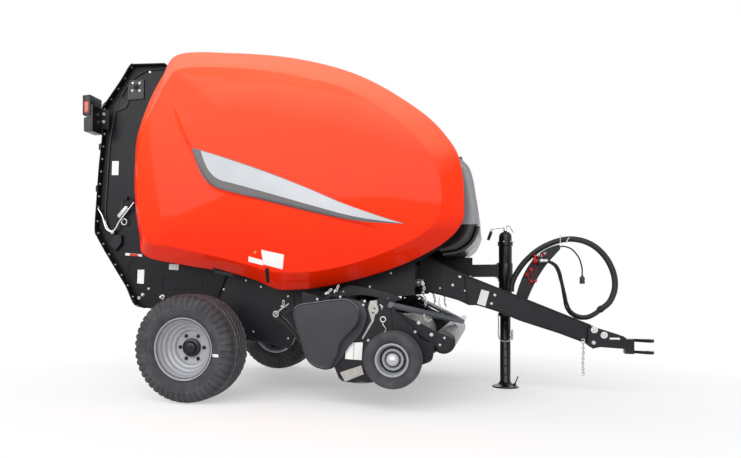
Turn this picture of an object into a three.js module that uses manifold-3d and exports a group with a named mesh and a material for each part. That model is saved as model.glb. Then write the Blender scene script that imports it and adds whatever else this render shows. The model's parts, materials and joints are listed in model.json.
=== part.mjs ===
// A round baler with a belt chamber, a 2.1 m pickup and a lifting tailgate.
//
// Millimetres, +Z up, +X towards the tractor, +Y to the machine's left.
// Every place is measured from the ground under the axle (x = 0) and from the middle plane (y = 0).
// The last group shifts the whole machine so that its origin lies midway between its two ends.

import * as THREE from 'three';
import { mergeVertices } from 'three/addons/utils/BufferGeometryUtils.js';
import Module from 'manifold-3d';

const wasm = await Module();
wasm.setup();

// ---------------------------------------------------------------- driving dimensions

const gap = 0.3;                 // between pieces that touch
const runningGap = 1;            // between a pin and the hole it turns in

const tyreDiameter = 845;
const tyreOverhang = 30;         // of the tyre's wall beyond the rim
const trackWidth = 2210;         // between the middles of the two tyres
const rimDiameter = 482;         // over the rim's lips
const rimWidth = 330;
const rimWall = 12;
const hubRadius = 74;
const spindleRadius = 35;
const axleSize = 120;            // square beam

const chamberWidth = 1210;       // between the inner faces of the side plates
const sideThickness = 10;
const tailgateGap = 10;          // between front side plate and tailgate plate
const tailgateThickness = 12;
const flangeWidth = 63;
const flangeThickness = 8;
const pivotRadius = 30;
const sheetThickness = 6;
const beltThickness = 8;
const beltMargin = 15;           // from the belts' edge to the side plate

const pickupWidth = 2100;        // between the inner faces of the pickup's end plates
const pickupPlate = 10;
const bandRadius = 168;          // outside of the stripper bands
const reelRadius = 118;
const rotorRadius = 195;
const rotorCore = 60;
const coverBoss = 60;
const coverDepth = 50;
const coverThickness = 12;
const reelShaft = 25;
const guardPin = 20;

const gaugeDiameter = 410;
const gaugeOverhang = 16.5;      // of the small tyre's wall beyond its rim
const gaugeRimWidth = 132;
const gaugeRim = 236;
const gaugeHub = 42;
const gaugeShaft = 16;

const crushRollerRadius = 85;
const guardTube = 20;
const armThickness = 12;

const drawbarRearWidth = 500;
const drawbarFrontWidth = 110;
const drawbarWall = 10;
const cheekThickness = 18;
const forkWidth = 90;
const forkHole = 17;

const jackRadius = 57;
const jackWall = 9.5;
const jackReach = 40;            // from the drawbar's side to the jack's middle
const footRadius = 115;

const railWidth = 40;
const railOffset = 23;           // from the tailgate's plate to the rail
const hingeOffset = 50;          // from the rail to the hinge line
const panelOffset = 70;          // from the hinge line to the inner face of the panel's rim
const panelThickness = 25;
const panelCrown = 215;          // how far the panel bulges beyond its rim
const lampWidth = 185;
const lampOverlap = 45;          // of the lamp behind the tailgate's flange

const sleeveDiameter = 48;
const hoseDiameter = 18;
const cableDiameter = 12;

// ---------------------------------------------------------------- derived places

const axleHeight = tyreDiameter / 2;
const tyreWidth = rimWidth + 2 * tyreOverhang;
const gaugeWidth = gaugeRimWidth + 2 * gaugeOverhang;
const chamberHalf = chamberWidth / 2;
const sideOuter = chamberHalf + sideThickness;
const tailgateInner = sideOuter + tailgateGap;
const tailgateOuter = tailgateInner + tailgateThickness;
const flangeOuter = tailgateOuter + flangeWidth;
const railInner = tailgateOuter + railOffset;
const railOuter = railInner + railWidth;
const hingeY = railOuter + hingeOffset;
const panelEdge = hingeY + panelOffset;
const jackY = drawbarRearWidth / 2 + jackReach;
const across = 3000;             // longer than the machine is wide, for holes cut right through
const innerSpan = chamberHalf - gap;
const pickupHalf = pickupWidth / 2;
const pickupOuter = pickupHalf + pickupPlate;
const feederOuter = pickupHalf - 15;
const coverInner = pickupOuter + 15;

const tailgatePivot = { x: 800, z: 2620 };
const rotorCentre = { x: 1120, z: 590 };
const reelCentre = { x: 1560, z: 470 };
const guardPivot = { x: 1560, z: 770 };
const crushRoller = { x: 1939, z: 497 };
const gaugeCentre = { x: 1602, z: 384 };
const jackX = 2396;
const forkTip = 3538;
const lampRear = -1194;
const lampFront = -1080;         // the tailgate's rear edge where the lamps are bolted
const beamRear = 1590;
const beamFront = 1690;
const beamBottom = 900;
const beamTop = 1080;
const drawbarFront = 3060;
const troughRadius = rotorRadius + 22;
const feederBack = rotorCentre.x - troughRadius - sheetThickness - 12;
const feederTop = 862;

// ---------------------------------------------------------------- looks

const looks = {
  red: { color: 0xf93a14, roughness: 0.3, metalness: 0 },
  black: { color: 0x2c2b2f, roughness: 0.45, metalness: 0.2 },
  grey: { color: 0x9a9ca0, roughness: 0.45, metalness: 0.3 },
  rim: { color: 0xc3c7cc, roughness: 0.4, metalness: 0.7 },
  rubber: { color: 0x232326, roughness: 0.9, metalness: 0 },
  steel: { color: 0xa9abae, roughness: 0.35, metalness: 0.9 },
  plastic: { color: 0x37363b, roughness: 0.5, metalness: 0 },
  lamp: { color: 0xe0401c, roughness: 0.25, metalness: 0 },
};

// ---------------------------------------------------------------- shape helpers

function toSolid(geometry) {
  const bare = geometry.clone();
  bare.deleteAttribute('normal');
  bare.deleteAttribute('uv');
  const merged = mergeVertices(bare, 1e-3);
  return new wasm.Manifold(new wasm.Mesh({
    numProp: 3,
    vertProperties: Float32Array.from(merged.attributes.position.array),
    triVerts: Uint32Array.from(merged.index.array),
  }));
}

function toGeometry(solid) {
  const result = solid.getMesh();
  const geometry = new THREE.BufferGeometry();
  geometry.setAttribute('position', new THREE.BufferAttribute(result.vertProperties, 3));
  geometry.setIndex(new THREE.BufferAttribute(result.triVerts, 1));
  geometry.computeVertexNormals();
  return geometry;
}

const join = (...parts) => toGeometry(parts.map(toSolid).reduce((sum, part) => sum.add(part)));
const cut = (body, ...tools) => (
  toGeometry(tools.map(toSolid).reduce((rest, tool) => rest.subtract(tool), toSolid(body))));
const common = (one, other) => toGeometry(toSolid(one).intersect(toSolid(other)));

function shapeOf(points) {
  return new THREE.Shape(points.map(([x, z]) => new THREE.Vector2(x, z)));
}

// A flat outline drawn in x and z, made solid from y = low to y = high.
function plate(outline, low, high, curveSegments = 6) {
  const shape = Array.isArray(outline) ? shapeOf(outline) : outline;
  const depth = high - low;
  const geometry = new THREE.ExtrudeGeometry(shape, { depth, bevelEnabled: false, curveSegments });
  return geometry.rotateX(Math.PI / 2).translate(0, high, 0);
}

// A flat outline drawn in x and y, made solid from z = low to z = high.
function slab(outline, low, high) {
  const geometry = new THREE.ExtrudeGeometry(shapeOf(outline), { depth: high - low, bevelEnabled: false });
  return geometry.translate(0, 0, low);
}

function box([x0, y0, z0], [x1, y1, z1]) {
  const geometry = new THREE.BoxGeometry(x1 - x0, y1 - y0, z1 - z0);
  return geometry.translate((x0 + x1) / 2, (y0 + y1) / 2, (z0 + z1) / 2);
}

// A round bar along y.
function barY(radius, low, high, centre, segments = 24) {
  const geometry = new THREE.CylinderGeometry(radius, radius, high - low, segments);
  return geometry.translate(centre.x, (low + high) / 2, centre.z);
}

function barZ(radius, low, high, x, y, segments = 24) {
  const geometry = new THREE.CylinderGeometry(radius, radius, high - low, segments);
  return geometry.rotateX(Math.PI / 2).translate(x, y, (low + high) / 2);
}

function barX(radius, low, high, y, z, segments = 20) {
  const geometry = new THREE.CylinderGeometry(radius, radius, high - low, segments);
  return geometry.rotateZ(Math.PI / 2).translate((low + high) / 2, y, z);
}

// Turned about y: the profile's pairs are radius and distance along y, anticlockwise round the section.
// A profile that starts and ends on the axis is left open there.
function turnedY(profile, centre, segments) {
  const whole = profile[0][0] > 0 ? [...profile, profile[0]] : profile;
  const points = whole.map(([radius, along]) => new THREE.Vector2(radius, along));
  return new THREE.LatheGeometry(points, segments).translate(centre.x, 0, centre.z);
}

// A round section swept along a smooth line through the given points.
function cord(points, diameter, steps, sides = 8) {
  const curve = new THREE.CatmullRomCurve3(points.map((point) => new THREE.Vector3(...point)));
  const section = new THREE.Shape();
  const corners = Array.from({ length: sides }, (_, index) => (index / sides) * Math.PI * 2);
  section.setFromPoints(corners.map((angle) => (
    new THREE.Vector2(Math.cos(angle), Math.sin(angle)).multiplyScalar(diameter / 2))));
  return new THREE.ExtrudeGeometry(section, { steps, extrudePath: curve, bevelEnabled: false });
}

// Moves each side of a closed outline inwards by a distance and returns the new corners.
function inset(points, distance) {
  const area = points.reduce((sum, [x, z], index) => {
    const [nextX, nextZ] = points[(index + 1) % points.length];
    return sum + x * nextZ - nextX * z;
  }, 0);
  const side = Math.sign(area);
  return points.map(([x, z], index) => {
    const [beforeX, beforeZ] = points[(index + points.length - 1) % points.length];
    const [afterX, afterZ] = points[(index + 1) % points.length];
    const into = new THREE.Vector2(x - beforeX, z - beforeZ).normalize();
    const out = new THREE.Vector2(afterX - x, afterZ - z).normalize();
    const normalIn = new THREE.Vector2(-into.y, into.x);
    const normalOut = new THREE.Vector2(-out.y, out.x);
    const middle = normalIn.clone().add(normalOut).normalize();
    const reach = (side * distance) / Math.max(middle.dot(normalIn), 0.4);
    return [x + middle.x * reach, z + middle.y * reach];
  });
}

// A strip of even thickness on the inner side of an open line.
function strip(points, thickness) {
  const inner = points.map(([x, z], index) => {
    const [beforeX, beforeZ] = points[Math.max(index - 1, 0)];
    const [afterX, afterZ] = points[Math.min(index + 1, points.length - 1)];
    const along = new THREE.Vector2(afterX - beforeX, afterZ - beforeZ).normalize();
    return [x - along.y * thickness, z + along.x * thickness];
  });
  return [...points, ...inner.reverse()];
}

const nodes = [];

function add(name, geometry, look) {
  const mesh = new THREE.Mesh(geometry, new THREE.MeshStandardMaterial(looks[look]));
  mesh.name = name;
  nodes.push(mesh);
  return mesh;
}

// Each side piece is drawn on the right (-y) or on the left (+y); side is -1 or +1.
const sides = [['right', -1], ['left', 1]];

function span(side, near, far) {
  return side < 0 ? [-far, -near] : [near, far];
}

// ---------------------------------------------------------------- wheels and axle

const wheelCentre = { x: 0, z: axleHeight };
const rimDish = 172;             // from the outer lip to the bolting face
const hubLength = 130;
const discThickness = 10;
const lipHeight = 18;
const rimSheet = 7;
const wheelSegments = 32;

// The tyre's beads sit on the rim's seat, between its two lips.
function tyreProfile({ diameter, width, lip, seat, bead, shoulder }) {
  const outer = diameter / 2;
  const half = width / 2;
  const wall = lip + (outer - lip) * 0.45;
  return [
    [seat + gap, -bead], [lip + 4, -bead], [lip + 24, -half * 0.93], [wall, -half],
    [outer - shoulder, -half * 0.9], [outer, -half * 0.64],
    [outer, half * 0.64], [outer - shoulder, half * 0.9],
    [wall, half], [lip + 24, half * 0.93], [lip + 4, bead], [seat + gap, bead],
  ];
}

// The rim is drawn with its outer side towards +y and turned over for the right wheel.
function rimGeometry(side) {
  const lip = rimDiameter / 2;
  const seat = lip - lipHeight;
  const well = seat - rimSheet;
  const half = rimWidth / 2;
  const face = half - rimDish;
  const rim = turnedY([
    [hubRadius - 5, face - discThickness], [well - 32, face - discThickness],
    [well, face - discThickness - 20], [well, -half], [lip, -half], [lip, -half + rimWall],
    [seat, -half + rimWall], [seat, half - rimWall], [lip, half - rimWall], [lip, half],
    [well, half], [well, face + 30], [well - 36, face], [hubRadius - 5, face],
  ], { x: 0, z: 0 }, wheelSegments);
  const hub = turnedY([
    [0, face + 24], [spindleRadius + runningGap, face + 24], [spindleRadius + runningGap, face - hubLength],
    [hubRadius, face - hubLength], [hubRadius, face + 30], [hubRadius - 20, face + 44], [0, face + 44],
  ], { x: 0, z: 0 }, wheelSegments);
  const geometry = join(rim, hub);
  return side < 0 ? geometry.rotateZ(Math.PI) : geometry;
}

for (const [word, side] of sides) {
  const y = (side * trackWidth) / 2;
  const tyre = turnedY(tyreProfile({
    diameter: tyreDiameter, width: tyreWidth, lip: rimDiameter / 2, seat: rimDiameter / 2 - lipHeight,
    bead: rimWidth / 2 - rimWall - gap, shoulder: 26,
  }), { x: 0, z: 0 }, wheelSegments);
  add(`tyre_${word}`, tyre.translate(0, y, axleHeight), 'rubber');
  add(`rim_${word}`, rimGeometry(side).translate(0, y, axleHeight), 'rim');
}

const spindleEnd = trackWidth / 2 + rimWidth / 2 - rimDish + 20;
const tyreClearance = 25;        // from the beam's end to the tyre
const beamEnd = trackWidth / 2 - tyreWidth / 2 - tyreClearance;
const axleHalf = axleSize / 2;
add('axle_beam', join(
  box([-axleHalf, -beamEnd, axleHeight - axleHalf], [axleHalf, beamEnd, axleHeight + axleHalf]),
  barY(spindleRadius, -spindleEnd, spindleEnd, wheelCentre),
), 'black');

// ---------------------------------------------------------------- bale chamber, front half

const plateTop = axleHeight + axleHalf + gap;
const plateFront = feederBack - 5;
const chamberOutline = [
  [-120, plateTop], [120, plateTop], [309, 449], [655, 383], [703, 500], [plateFront, 520],
  [plateFront, feederTop], [1131, feederTop], [1440, 812], [beamFront, 835], [beamFront, 1085],
  [1870, 1190], [1990, 1330], [2035, 1530],
  [2025, 1690], [1985, 1880], [1870, 2020], [1720, 2180], [1560, 2300], [1290, 2465], [1000, 2600],
  [880, 2670], [810, 2700], [735, 2670], [720, 2590], [40, 850], [-30, 700], [-120, 600],
];

const pivotHole = (radius) => barY(radius, -across / 2, across / 2, tailgatePivot);

for (const [word, side] of sides) {
  const [low, high] = span(side, chamberHalf, sideOuter);
  add(`chamber_side_${word}`, cut(plate(chamberOutline, low, high), pivotHole(pivotRadius + gap)), 'black');
}

const pivotEnd = tailgateOuter + 15;
add('pivot_shaft', barY(pivotRadius, -pivotEnd, pivotEnd, tailgatePivot), 'steel');

const coverLine = [[1976, 1862], [1855, 2008], [1708, 2166], [1550, 2285], [1282, 2449], [1010, 2575]];
add('front_cover', plate(strip(coverLine, sheetThickness), -innerSpan, innerSpan), 'black');

const frontEdge = [[1985, 1880], [2025, 1690], [2035, 1530], [1990, 1330], [1870, 1190]];
const hoodNose = [
  [1905, 1165], [2010, 1180], [2086, 1221], [2133, 1276], [2172, 1387], [2177, 1483],
  [2159, 1603], [2140, 1723], [2109, 1828], [2047, 1903],
];
const hoodOutline = [...hoodNose, ...frontEdge.map(([x, z]) => [x + gap, z])];
const hoodWall = 15;
const hoodHollow = inset(hoodNose, hoodWall);
const hoodInner = [...hoodHollow, [1940, 1880], [1900, 1500], [1850, 1200]];
add('front_hood', cut(
  plate(hoodOutline, -sideOuter, sideOuter),
  plate(hoodInner, -sideOuter + hoodWall, sideOuter - hoodWall),
), 'grey');

add('front_beam', box([beamRear, -innerSpan, beamBottom], [beamFront, innerSpan, beamTop]), 'black');

const gearboxHalf = 130;
const gearboxTop = 1360;
const gearboxFront = beamFront - 5;
const gearboxShaftZ = 1245;
const inputShaft = { radius: 28, length: 110 };
const crossShaft = { radius: 34, place: { x: 1640, z: gearboxShaftZ } };
add('gearbox', join(
  box([beamRear - 30, -gearboxHalf, beamTop + gap], [gearboxFront, gearboxHalf, gearboxTop]),
  barX(inputShaft.radius, gearboxFront - 5, gearboxFront + inputShaft.length, 0, gearboxShaftZ),
  barY(crossShaft.radius, gearboxHalf - 5, innerSpan, crossShaft.place),
), 'black');

const starterRoller = { x: 1180, z: 985, radius: 105 };
const upperRoller = { x: 960, z: 2440, radius: 60 };
const floorRoller = { x: 430, z: 690, radius: 110 };
const frontRollers = { starter_roller: starterRoller, upper_roller: upperRoller, floor_roller: floorRoller };
for (const [name, roller] of Object.entries(frontRollers)) {
  add(name, barY(roller.radius, -innerSpan, innerSpan, roller), 'steel');
}

const beltHalf = chamberHalf - beltMargin;
const frontBeltX = starterRoller.x + starterRoller.radius + gap + beltThickness;
const frontBeltTop = upperRoller.z + upperRoller.radius + gap + beltThickness;
const frontBeltLine = [
  [frontBeltX, starterRoller.z - 60], [frontBeltX, starterRoller.z + 60], [1420, 1400], [1455, 1700],
  [1370, 2050], [1200, 2320], [1010, frontBeltTop], [upperRoller.x - 40, frontBeltTop],
];
add('front_belts', plate(strip(frontBeltLine, beltThickness), -beltHalf, beltHalf), 'rubber');

// ---------------------------------------------------------------- tailgate

const rearEdge = [
  [-460, 2845], [-745, 2865], [-794, 2862], [-886, 2738], [-1021, 2572], [lampFront, 2500], [lampFront, 2250],
  [-1113, 1984], [-1138, 1686], [-1156, 1419], [-1130, 1343], [-1045, 1208], [-944, 1057], [-844, 910],
  [-761, 749], [-663, 713],
];
const ear = 85;

function tailgateShape() {
  const shape = new THREE.Shape();
  shape.moveTo(-60, 640);
  shape.lineTo(22, 833);
  shape.lineTo(99, 1016);
  shape.lineTo(tailgatePivot.x - 65, tailgatePivot.z - 90);
  shape.absarc(tailgatePivot.x, tailgatePivot.z, ear, -0.7 * Math.PI, 0.45 * Math.PI, false);
  shape.lineTo(520, 2765);
  rearEdge.forEach(([x, z]) => shape.lineTo(x, z));
  return shape;
}

for (const [word, side] of sides) {
  const [low, high] = span(side, tailgateInner, tailgateOuter);
  const [flangeLow, flangeHigh] = span(side, tailgateOuter - 2, flangeOuter);
  add(`tailgate_side_${word}`, cut(join(
    plate(tailgateShape(), low, high),
    plate(strip(rearEdge, flangeThickness), flangeLow, flangeHigh),
  ), pivotHole(pivotRadius + runningGap)), 'black');
}

const tailgateSpan = tailgateInner - gap;
const tailgateRollers = {
  tailgate_roller_lower: { x: -110, z: 770, radius: 90 },
  tailgate_roller_front: { x: 560, z: 2630, radius: 60 },
  tailgate_roller_upper: { x: -840, z: 2620, radius: 60 },
  tailgate_roller_rear: { x: -1000, z: 1370, radius: 60 },
};
for (const [name, roller] of Object.entries(tailgateRollers)) {
  add(name, barY(roller.radius, -tailgateSpan, tailgateSpan, roller), 'steel');
}
add('tailgate_cross', box([-1030, -tailgateSpan, 1130], [-950, tailgateSpan, 1210]), 'black');

// The belts' outline: an even distance outside a ring of rollers, named in anticlockwise order.
function loopAround(rollers, offset, arcSteps = 5) {
  const points = [];
  rollers.forEach((roller, index) => {
    const before = rollers[(index + rollers.length - 1) % rollers.length];
    const after = rollers[(index + 1) % rollers.length];
    const start = tangentAngle(before, roller);
    let end = tangentAngle(roller, after);
    while (end < start) end += Math.PI * 2;
    for (let step = 0; step <= arcSteps; step += 1) {
      const angle = start + ((end - start) * step) / arcSteps;
      const reach = (roller.radius + offset) / Math.cos((end - start) / arcSteps / 2);
      points.push([roller.x + reach * Math.cos(angle), roller.z + reach * Math.sin(angle)]);
    }
  });
  return points;
}

// Where a belt running from one roller to the next lies on both, going anticlockwise outside them.
function tangentAngle(from, to) {
  const direction = Math.atan2(to.z - from.z, to.x - from.x);
  const distance = Math.hypot(to.x - from.x, to.z - from.z);
  return direction - Math.PI / 2 + Math.asin((to.radius - from.radius) / distance);
}

const rollerRing = Object.values(tailgateRollers);
const beltLoop = shapeOf(loopAround(rollerRing, gap + beltThickness));
beltLoop.holes.push(new THREE.Path(loopAround(rollerRing, gap).map(([x, z]) => new THREE.Vector2(x, z))));
add('tailgate_belts', plate(beltLoop, -beltHalf, beltHalf), 'rubber');

const lampNear = flangeOuter - lampOverlap;
const lampFar = lampNear + lampWidth;
for (const [word, side] of sides) {
  const [low, high] = span(side, lampNear, lampFar);
  add(`tail_lamp_${word}`, join(
    box([lampFront - 24, low, 2300], [lampFront - gap, high, 2490]),
    box([lampRear, low, 2405], [lampFront - 20, high, 2585]),
    box([lampRear, low + 10, 2262], [lampFront - 24 + 1, high - 10, 2395]),
  ), 'lamp');
}

// ---------------------------------------------------------------- side panels

const panelLine = [
  [-253, 2849], [220, 2815], [786, 2714], [1302, 2530], [1758, 2227], [1985, 1975], [2060, 1785],
  [2079, 1523], [2056, 1360], [1906, 1211], [1609, 1062], [1302, 965], [989, 896], [786, 876],
  [620, 880], [423, 956],
  [194, 1018], [-164, 1075], [-563, 1163], [-618, 1340], [-661, 1640], [-664, 1900], [-640, 2180],
  [-532, 2463], [-400, 2680],
];
const panelCentre = [700, 1850];
const panelPoints = 36;

function panelOutline() {
  const curve = new THREE.CatmullRomCurve3(panelLine.map(([x, z]) => new THREE.Vector3(x, 0, z)), true);
  return curve.getSpacedPoints(panelPoints).slice(0, panelPoints);
}

// The panel is a shell: rings shrinking to its middle, outside and again inside, closed at the rim.
// Filled, its inside is the flat plane of the rim.
function panelShell(side, filled = false) {
  const outline = panelOutline();
  const rings = [[1, 0], [0.93, 0.62], [0.62, 0.93], [0.3, 0.99]];
  const positions = [];
  const addRing = ([scale, height], back) => outline.forEach((point) => {
    const bulge = filled && back ? 0 : panelCrown * height;
    const y = panelEdge + panelThickness - back + bulge;
    positions.push(
      panelCentre[0] + (point.x - panelCentre[0]) * scale,
      side * y,
      panelCentre[1] + (point.z - panelCentre[1]) * scale,
    );
  });
  rings.forEach((ring) => addRing(ring, 0));
  const outerTip = positions.length / 3;
  positions.push(panelCentre[0], side * (panelEdge + panelThickness + panelCrown), panelCentre[1]);
  [...rings].reverse().forEach((ring) => addRing(ring, panelThickness));
  const innerTip = positions.length / 3;
  positions.push(panelCentre[0], side * (panelEdge + (filled ? 0 : panelCrown)), panelCentre[1]);

  const start = (ring) => ring * panelPoints + (ring >= rings.length ? 1 : 0);
  const index = [];
  const face = (a, b, c) => index.push(...(side < 0 ? [a, c, b] : [a, b, c]));
  const bridge = (first, second) => {
    for (let step = 0; step < panelPoints; step += 1) {
      const next = (step + 1) % panelPoints;
      face(first + step, first + next, second + step);
      face(first + next, second + next, second + step);
    }
  };
  const count = rings.length;
  for (let ring = 0; ring < count - 1; ring += 1) bridge(start(ring), start(ring + 1));
  for (let ring = count; ring < count * 2 - 1; ring += 1) bridge(start(ring), start(ring + 1));
  bridge(start(count * 2 - 1), start(0));
  for (let step = 0; step < panelPoints; step += 1) {
    const next = (step + 1) % panelPoints;
    face(start(count - 1) + step, start(count - 1) + next, outerTip);
    face(start(count) + next, start(count) + step, innerTip);
  }
  const geometry = new THREE.BufferGeometry();
  geometry.setAttribute('position', new THREE.Float32BufferAttribute(positions, 3));
  geometry.setIndex(index);
  return geometry;
}

// The hinge line runs down towards the front, just under the panel's top edge.
const hingeRear = { x: -250, z: 2800 };
const hingeFront = { x: 950, z: 2625 };
const hingeSlope = Math.atan2(hingeRear.z - hingeFront.z, hingeFront.x - hingeRear.x);
const hingePlaces = [0.12, 0.86];   // shares of the hinge line
const lugHalf = 12;
const pinRadius = 10;
const knuckleRadius = 22;
const knuckleLength = 40;
const hingePost = 8;             // half of the post's width
const railDrop = 56;             // from the hinge line to the top of the rail
const railHeight = 40;

// A piece drawn along x from the hinge line's rear end, laid on the sloping line.
function onHingeLine(geometry) {
  return geometry.rotateY(hingeSlope).translate(hingeRear.x, 0, hingeRear.z);
}
const hingeLength = Math.hypot(hingeFront.x - hingeRear.x, hingeFront.z - hingeRear.z);

for (const [word, side] of sides) {
  const [railLow, railHigh] = span(side, railInner, railOuter);
  const [footLow, footHigh] = span(side, sideOuter + gap, railInner + 5);
  const [lugLow, lugHigh] = span(side, railOuter - 5, hingeY + hingePost);
  const [postLow, postHigh] = span(side, hingeY - hingePost, hingeY + hingePost);
  const railFront = hingeLength + 30;
  const railBottom = -railDrop - railHeight;
  const railPieces = [
    box([-20, railLow, railBottom], [railFront, railHigh, -railDrop]),
    box([railFront - 40, footLow, railBottom], [railFront, footHigh, -railDrop]),
  ];
  hingePlaces.forEach((share) => {
    const x = share * hingeLength;
    railPieces.push(box([x - lugHalf, lugLow, railBottom + 14], [x + lugHalf, lugHigh, -railDrop - 2]));
    railPieces.push(box([x - lugHalf, postLow, railBottom + 14], [x + lugHalf, postHigh, pinRadius]));
    railPieces.push(barX(pinRadius, x - lugHalf, x + lugHalf + knuckleLength, side * hingeY, 0, 16));
  });
  add(`panel_rail_${word}`, onHingeLine(join(...railPieces)), 'black');
}

for (const [word, side] of sides) {
  const arms = hingePlaces.map((share) => {
    const x = share * hingeLength + lugHalf + runningGap;
    const [reachLow, reachHigh] = span(side, hingeY + 5, panelEdge + 10);
    const [seatLow, seatHigh] = span(side, panelEdge, panelEdge + panelCrown);
    const end = x + knuckleLength - 5;
    const knuckle = cut(join(
      barX(knuckleRadius, x, end, side * hingeY, 0, 16),
      box([x, reachLow, -knuckleRadius], [end, reachHigh, knuckleRadius - 12]),
    ), barX(pinRadius + runningGap, x - 5, end + 10, side * hingeY, 0, 16));
    const seat = onHingeLine(box([x, seatLow, -knuckleRadius], [end, seatHigh, knuckleRadius - 12]));
    return join(onHingeLine(knuckle), common(seat, panelShell(side, true)));
  });
  add(`side_panel_${word}`, join(panelShell(side), ...arms), 'red');
}

// ---------------------------------------------------------------- feed rotor and its housing

function arcPoints(centre, radius, from, to, steps) {
  return Array.from({ length: steps + 1 }, (_, step) => {
    const angle = THREE.MathUtils.degToRad(from + ((to - from) * step) / steps);
    return [centre.x + radius * Math.cos(angle), centre.z + radius * Math.sin(angle)];
  });
}

const feederBottom = 470;
const feederPlate = 10;
const troughArc = [
  ...arcPoints(rotorCentre, troughRadius + sheetThickness, 170, 300, 14),
  ...arcPoints(rotorCentre, troughRadius, 300, 170, 14),
];
const feederSide = [
  [feederBack, feederBottom], ...arcPoints(rotorCentre, troughRadius + sheetThickness, 215, 420, 14),
  [1040, 820], [feederBack, feederTop],
];
const feederPlates = sides.map(([, side]) => {
  const [low, high] = span(side, feederOuter - feederPlate, feederOuter);
  return cut(plate(feederSide, low, high), barY(rotorCore + runningGap, low - 5, high + 5, rotorCentre));
});
add('feeder_housing', join(
  plate(troughArc, -feederOuter, feederOuter),
  box([feederBack, -feederOuter, feederBottom], [feederBack + feederPlate, feederOuter, feederTop]),
  plate([[feederBack + 5, 560], [feederBack + 20, 560], [rotorCentre.x - troughRadius + 2, 630],
    [rotorCentre.x - troughRadius - 4, 640], [feederBack + 5, 640]], -feederOuter, feederOuter),
  ...feederPlates,
), 'black');

function rotorStar() {
  const points = [];
  const arms = 4;
  for (let arm = 0; arm < arms; arm += 1) {
    const angle = (arm / arms) * Math.PI * 2 + 0.3;
    const place = (radius, offset) => points.push([
      rotorCentre.x + radius * Math.cos(angle) - offset * Math.sin(angle),
      rotorCentre.z + radius * Math.sin(angle) + offset * Math.cos(angle),
    ]);
    place(rotorCore, -16);
    place(rotorRadius, -5);
    place(rotorRadius, 5);
    place(rotorCore, 16);
  }
  return points;
}
add('feed_rotor', join(
  plate(rotorStar(), -chamberHalf + 20, chamberHalf - 20),
  barY(rotorCore, -feederOuter, feederOuter, rotorCentre, 20),
), 'black');

function coverShape() {
  const shape = new THREE.Shape();
  shape.moveTo(900, 770);
  shape.quadraticCurveTo(1030, 812, 1215, 824);
  shape.quadraticCurveTo(1300, 825, 1340, 780);
  shape.quadraticCurveTo(1400, 715, 1362, 630);
  shape.quadraticCurveTo(1320, 560, 1262, 490);
  shape.quadraticCurveTo(1220, 420, 1190, 355);
  shape.quadraticCurveTo(1155, 295, 1100, 297);
  shape.quadraticCurveTo(1030, 305, 995, 370);
  shape.quadraticCurveTo(930, 500, 870, 590);
  shape.quadraticCurveTo(830, 670, 848, 720);
  shape.quadraticCurveTo(860, 755, 900, 770);
  return shape;
}

for (const [word, side] of sides) {
  const outline = coverShape().getPoints(4).map((point) => [point.x, point.y]);
  const hollow = inset(outline.slice(0, -1), coverThickness);
  const [low, high] = span(side, coverInner, coverInner + coverDepth);
  const [hollowLow, hollowHigh] = span(side, coverInner - 5, coverInner + coverDepth - coverThickness);
  const [bossLow, bossHigh] = span(side, feederOuter + gap, coverInner + coverDepth - 5);
  add(`drive_cover_${word}`, join(
    cut(plate(outline.slice(0, -1), low, high), plate(hollow, hollowLow, hollowHigh)),
    barY(coverBoss, bossLow, bossHigh, rotorCentre),
  ), 'plastic');
}

// ---------------------------------------------------------------- pickup

const plateRound = 110;          // the side plate's rear end, round the rotor's shaft
function pickupSideShape() {
  const shape = new THREE.Shape();
  shape.moveTo(1060, 497);
  [[1178, 216], [1235, 191], [1446, 199], [1792, 343], [1870, 381], [1891, 522], [1803, 568], [1783, 675],
    [1641, 815], [1482, 815], [1150, 696]].forEach(([x, z]) => shape.lineTo(x, z));
  shape.absarc(rotorCentre.x, rotorCentre.z, plateRound, 0.42 * Math.PI, 1.3 * Math.PI, false);
  return shape;
}

const gaugeInner = pickupOuter + 55;
const gaugeBoss = 34;
for (const [word, side] of sides) {
  const [low, high] = span(side, pickupHalf, pickupOuter);
  const [shaftLow, shaftHigh] = span(side, pickupOuter - 3, gaugeInner + gaugeWidth / 2 + 42);
  const [bossLow, bossHigh] = span(side, pickupOuter - 3, gaugeInner - 4);
  add(`pickup_side_${word}`, join(
    cut(
      plate(pickupSideShape(), low, high),
      barY(coverBoss + runningGap, low - 5, high + 5, rotorCentre),
      barY(reelShaft + runningGap, low - 5, high + 5, reelCentre),
      barY(guardPin + runningGap, low - 5, high + 5, guardPivot),
    ),
    barY(gaugeBoss, bossLow, bossHigh, gaugeCentre),
    barY(gaugeShaft, shaftLow, shaftHigh, gaugeCentre),
  ), 'black');
}

const bandThickness = 6;
const bandRear = rotorCentre.x + troughRadius + sheetThickness + 9;
const bandLevel = reelCentre.z + bandRadius - 10;       // where the bands meet the feeder, above
const bandFoot = reelCentre.z - bandRadius - 10;        // and behind the beam, below
const bandArc = [
  [bandRear, bandLevel], ...arcPoints(reelCentre, bandRadius, 100, -100, 16), [bandRear + 18, bandFoot],
  [bandRear + 18, bandFoot + bandThickness],
  ...arcPoints(reelCentre, bandRadius - bandThickness, -100, 100, 16), [bandRear, bandLevel - bandThickness],
];
const pickupSpan = pickupHalf - gap;
add('pickup_bands', plate(bandArc, -pickupSpan, pickupSpan), 'rim');
const pickupBeamSize = 60;
const pickupBeamTop = bandFoot - 7;
add('pickup_beam', box(
  [bandRear + 43, -pickupSpan, pickupBeamTop - pickupBeamSize],
  [bandRear + 43 + pickupBeamSize, pickupSpan, pickupBeamTop],
), 'black');

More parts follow.
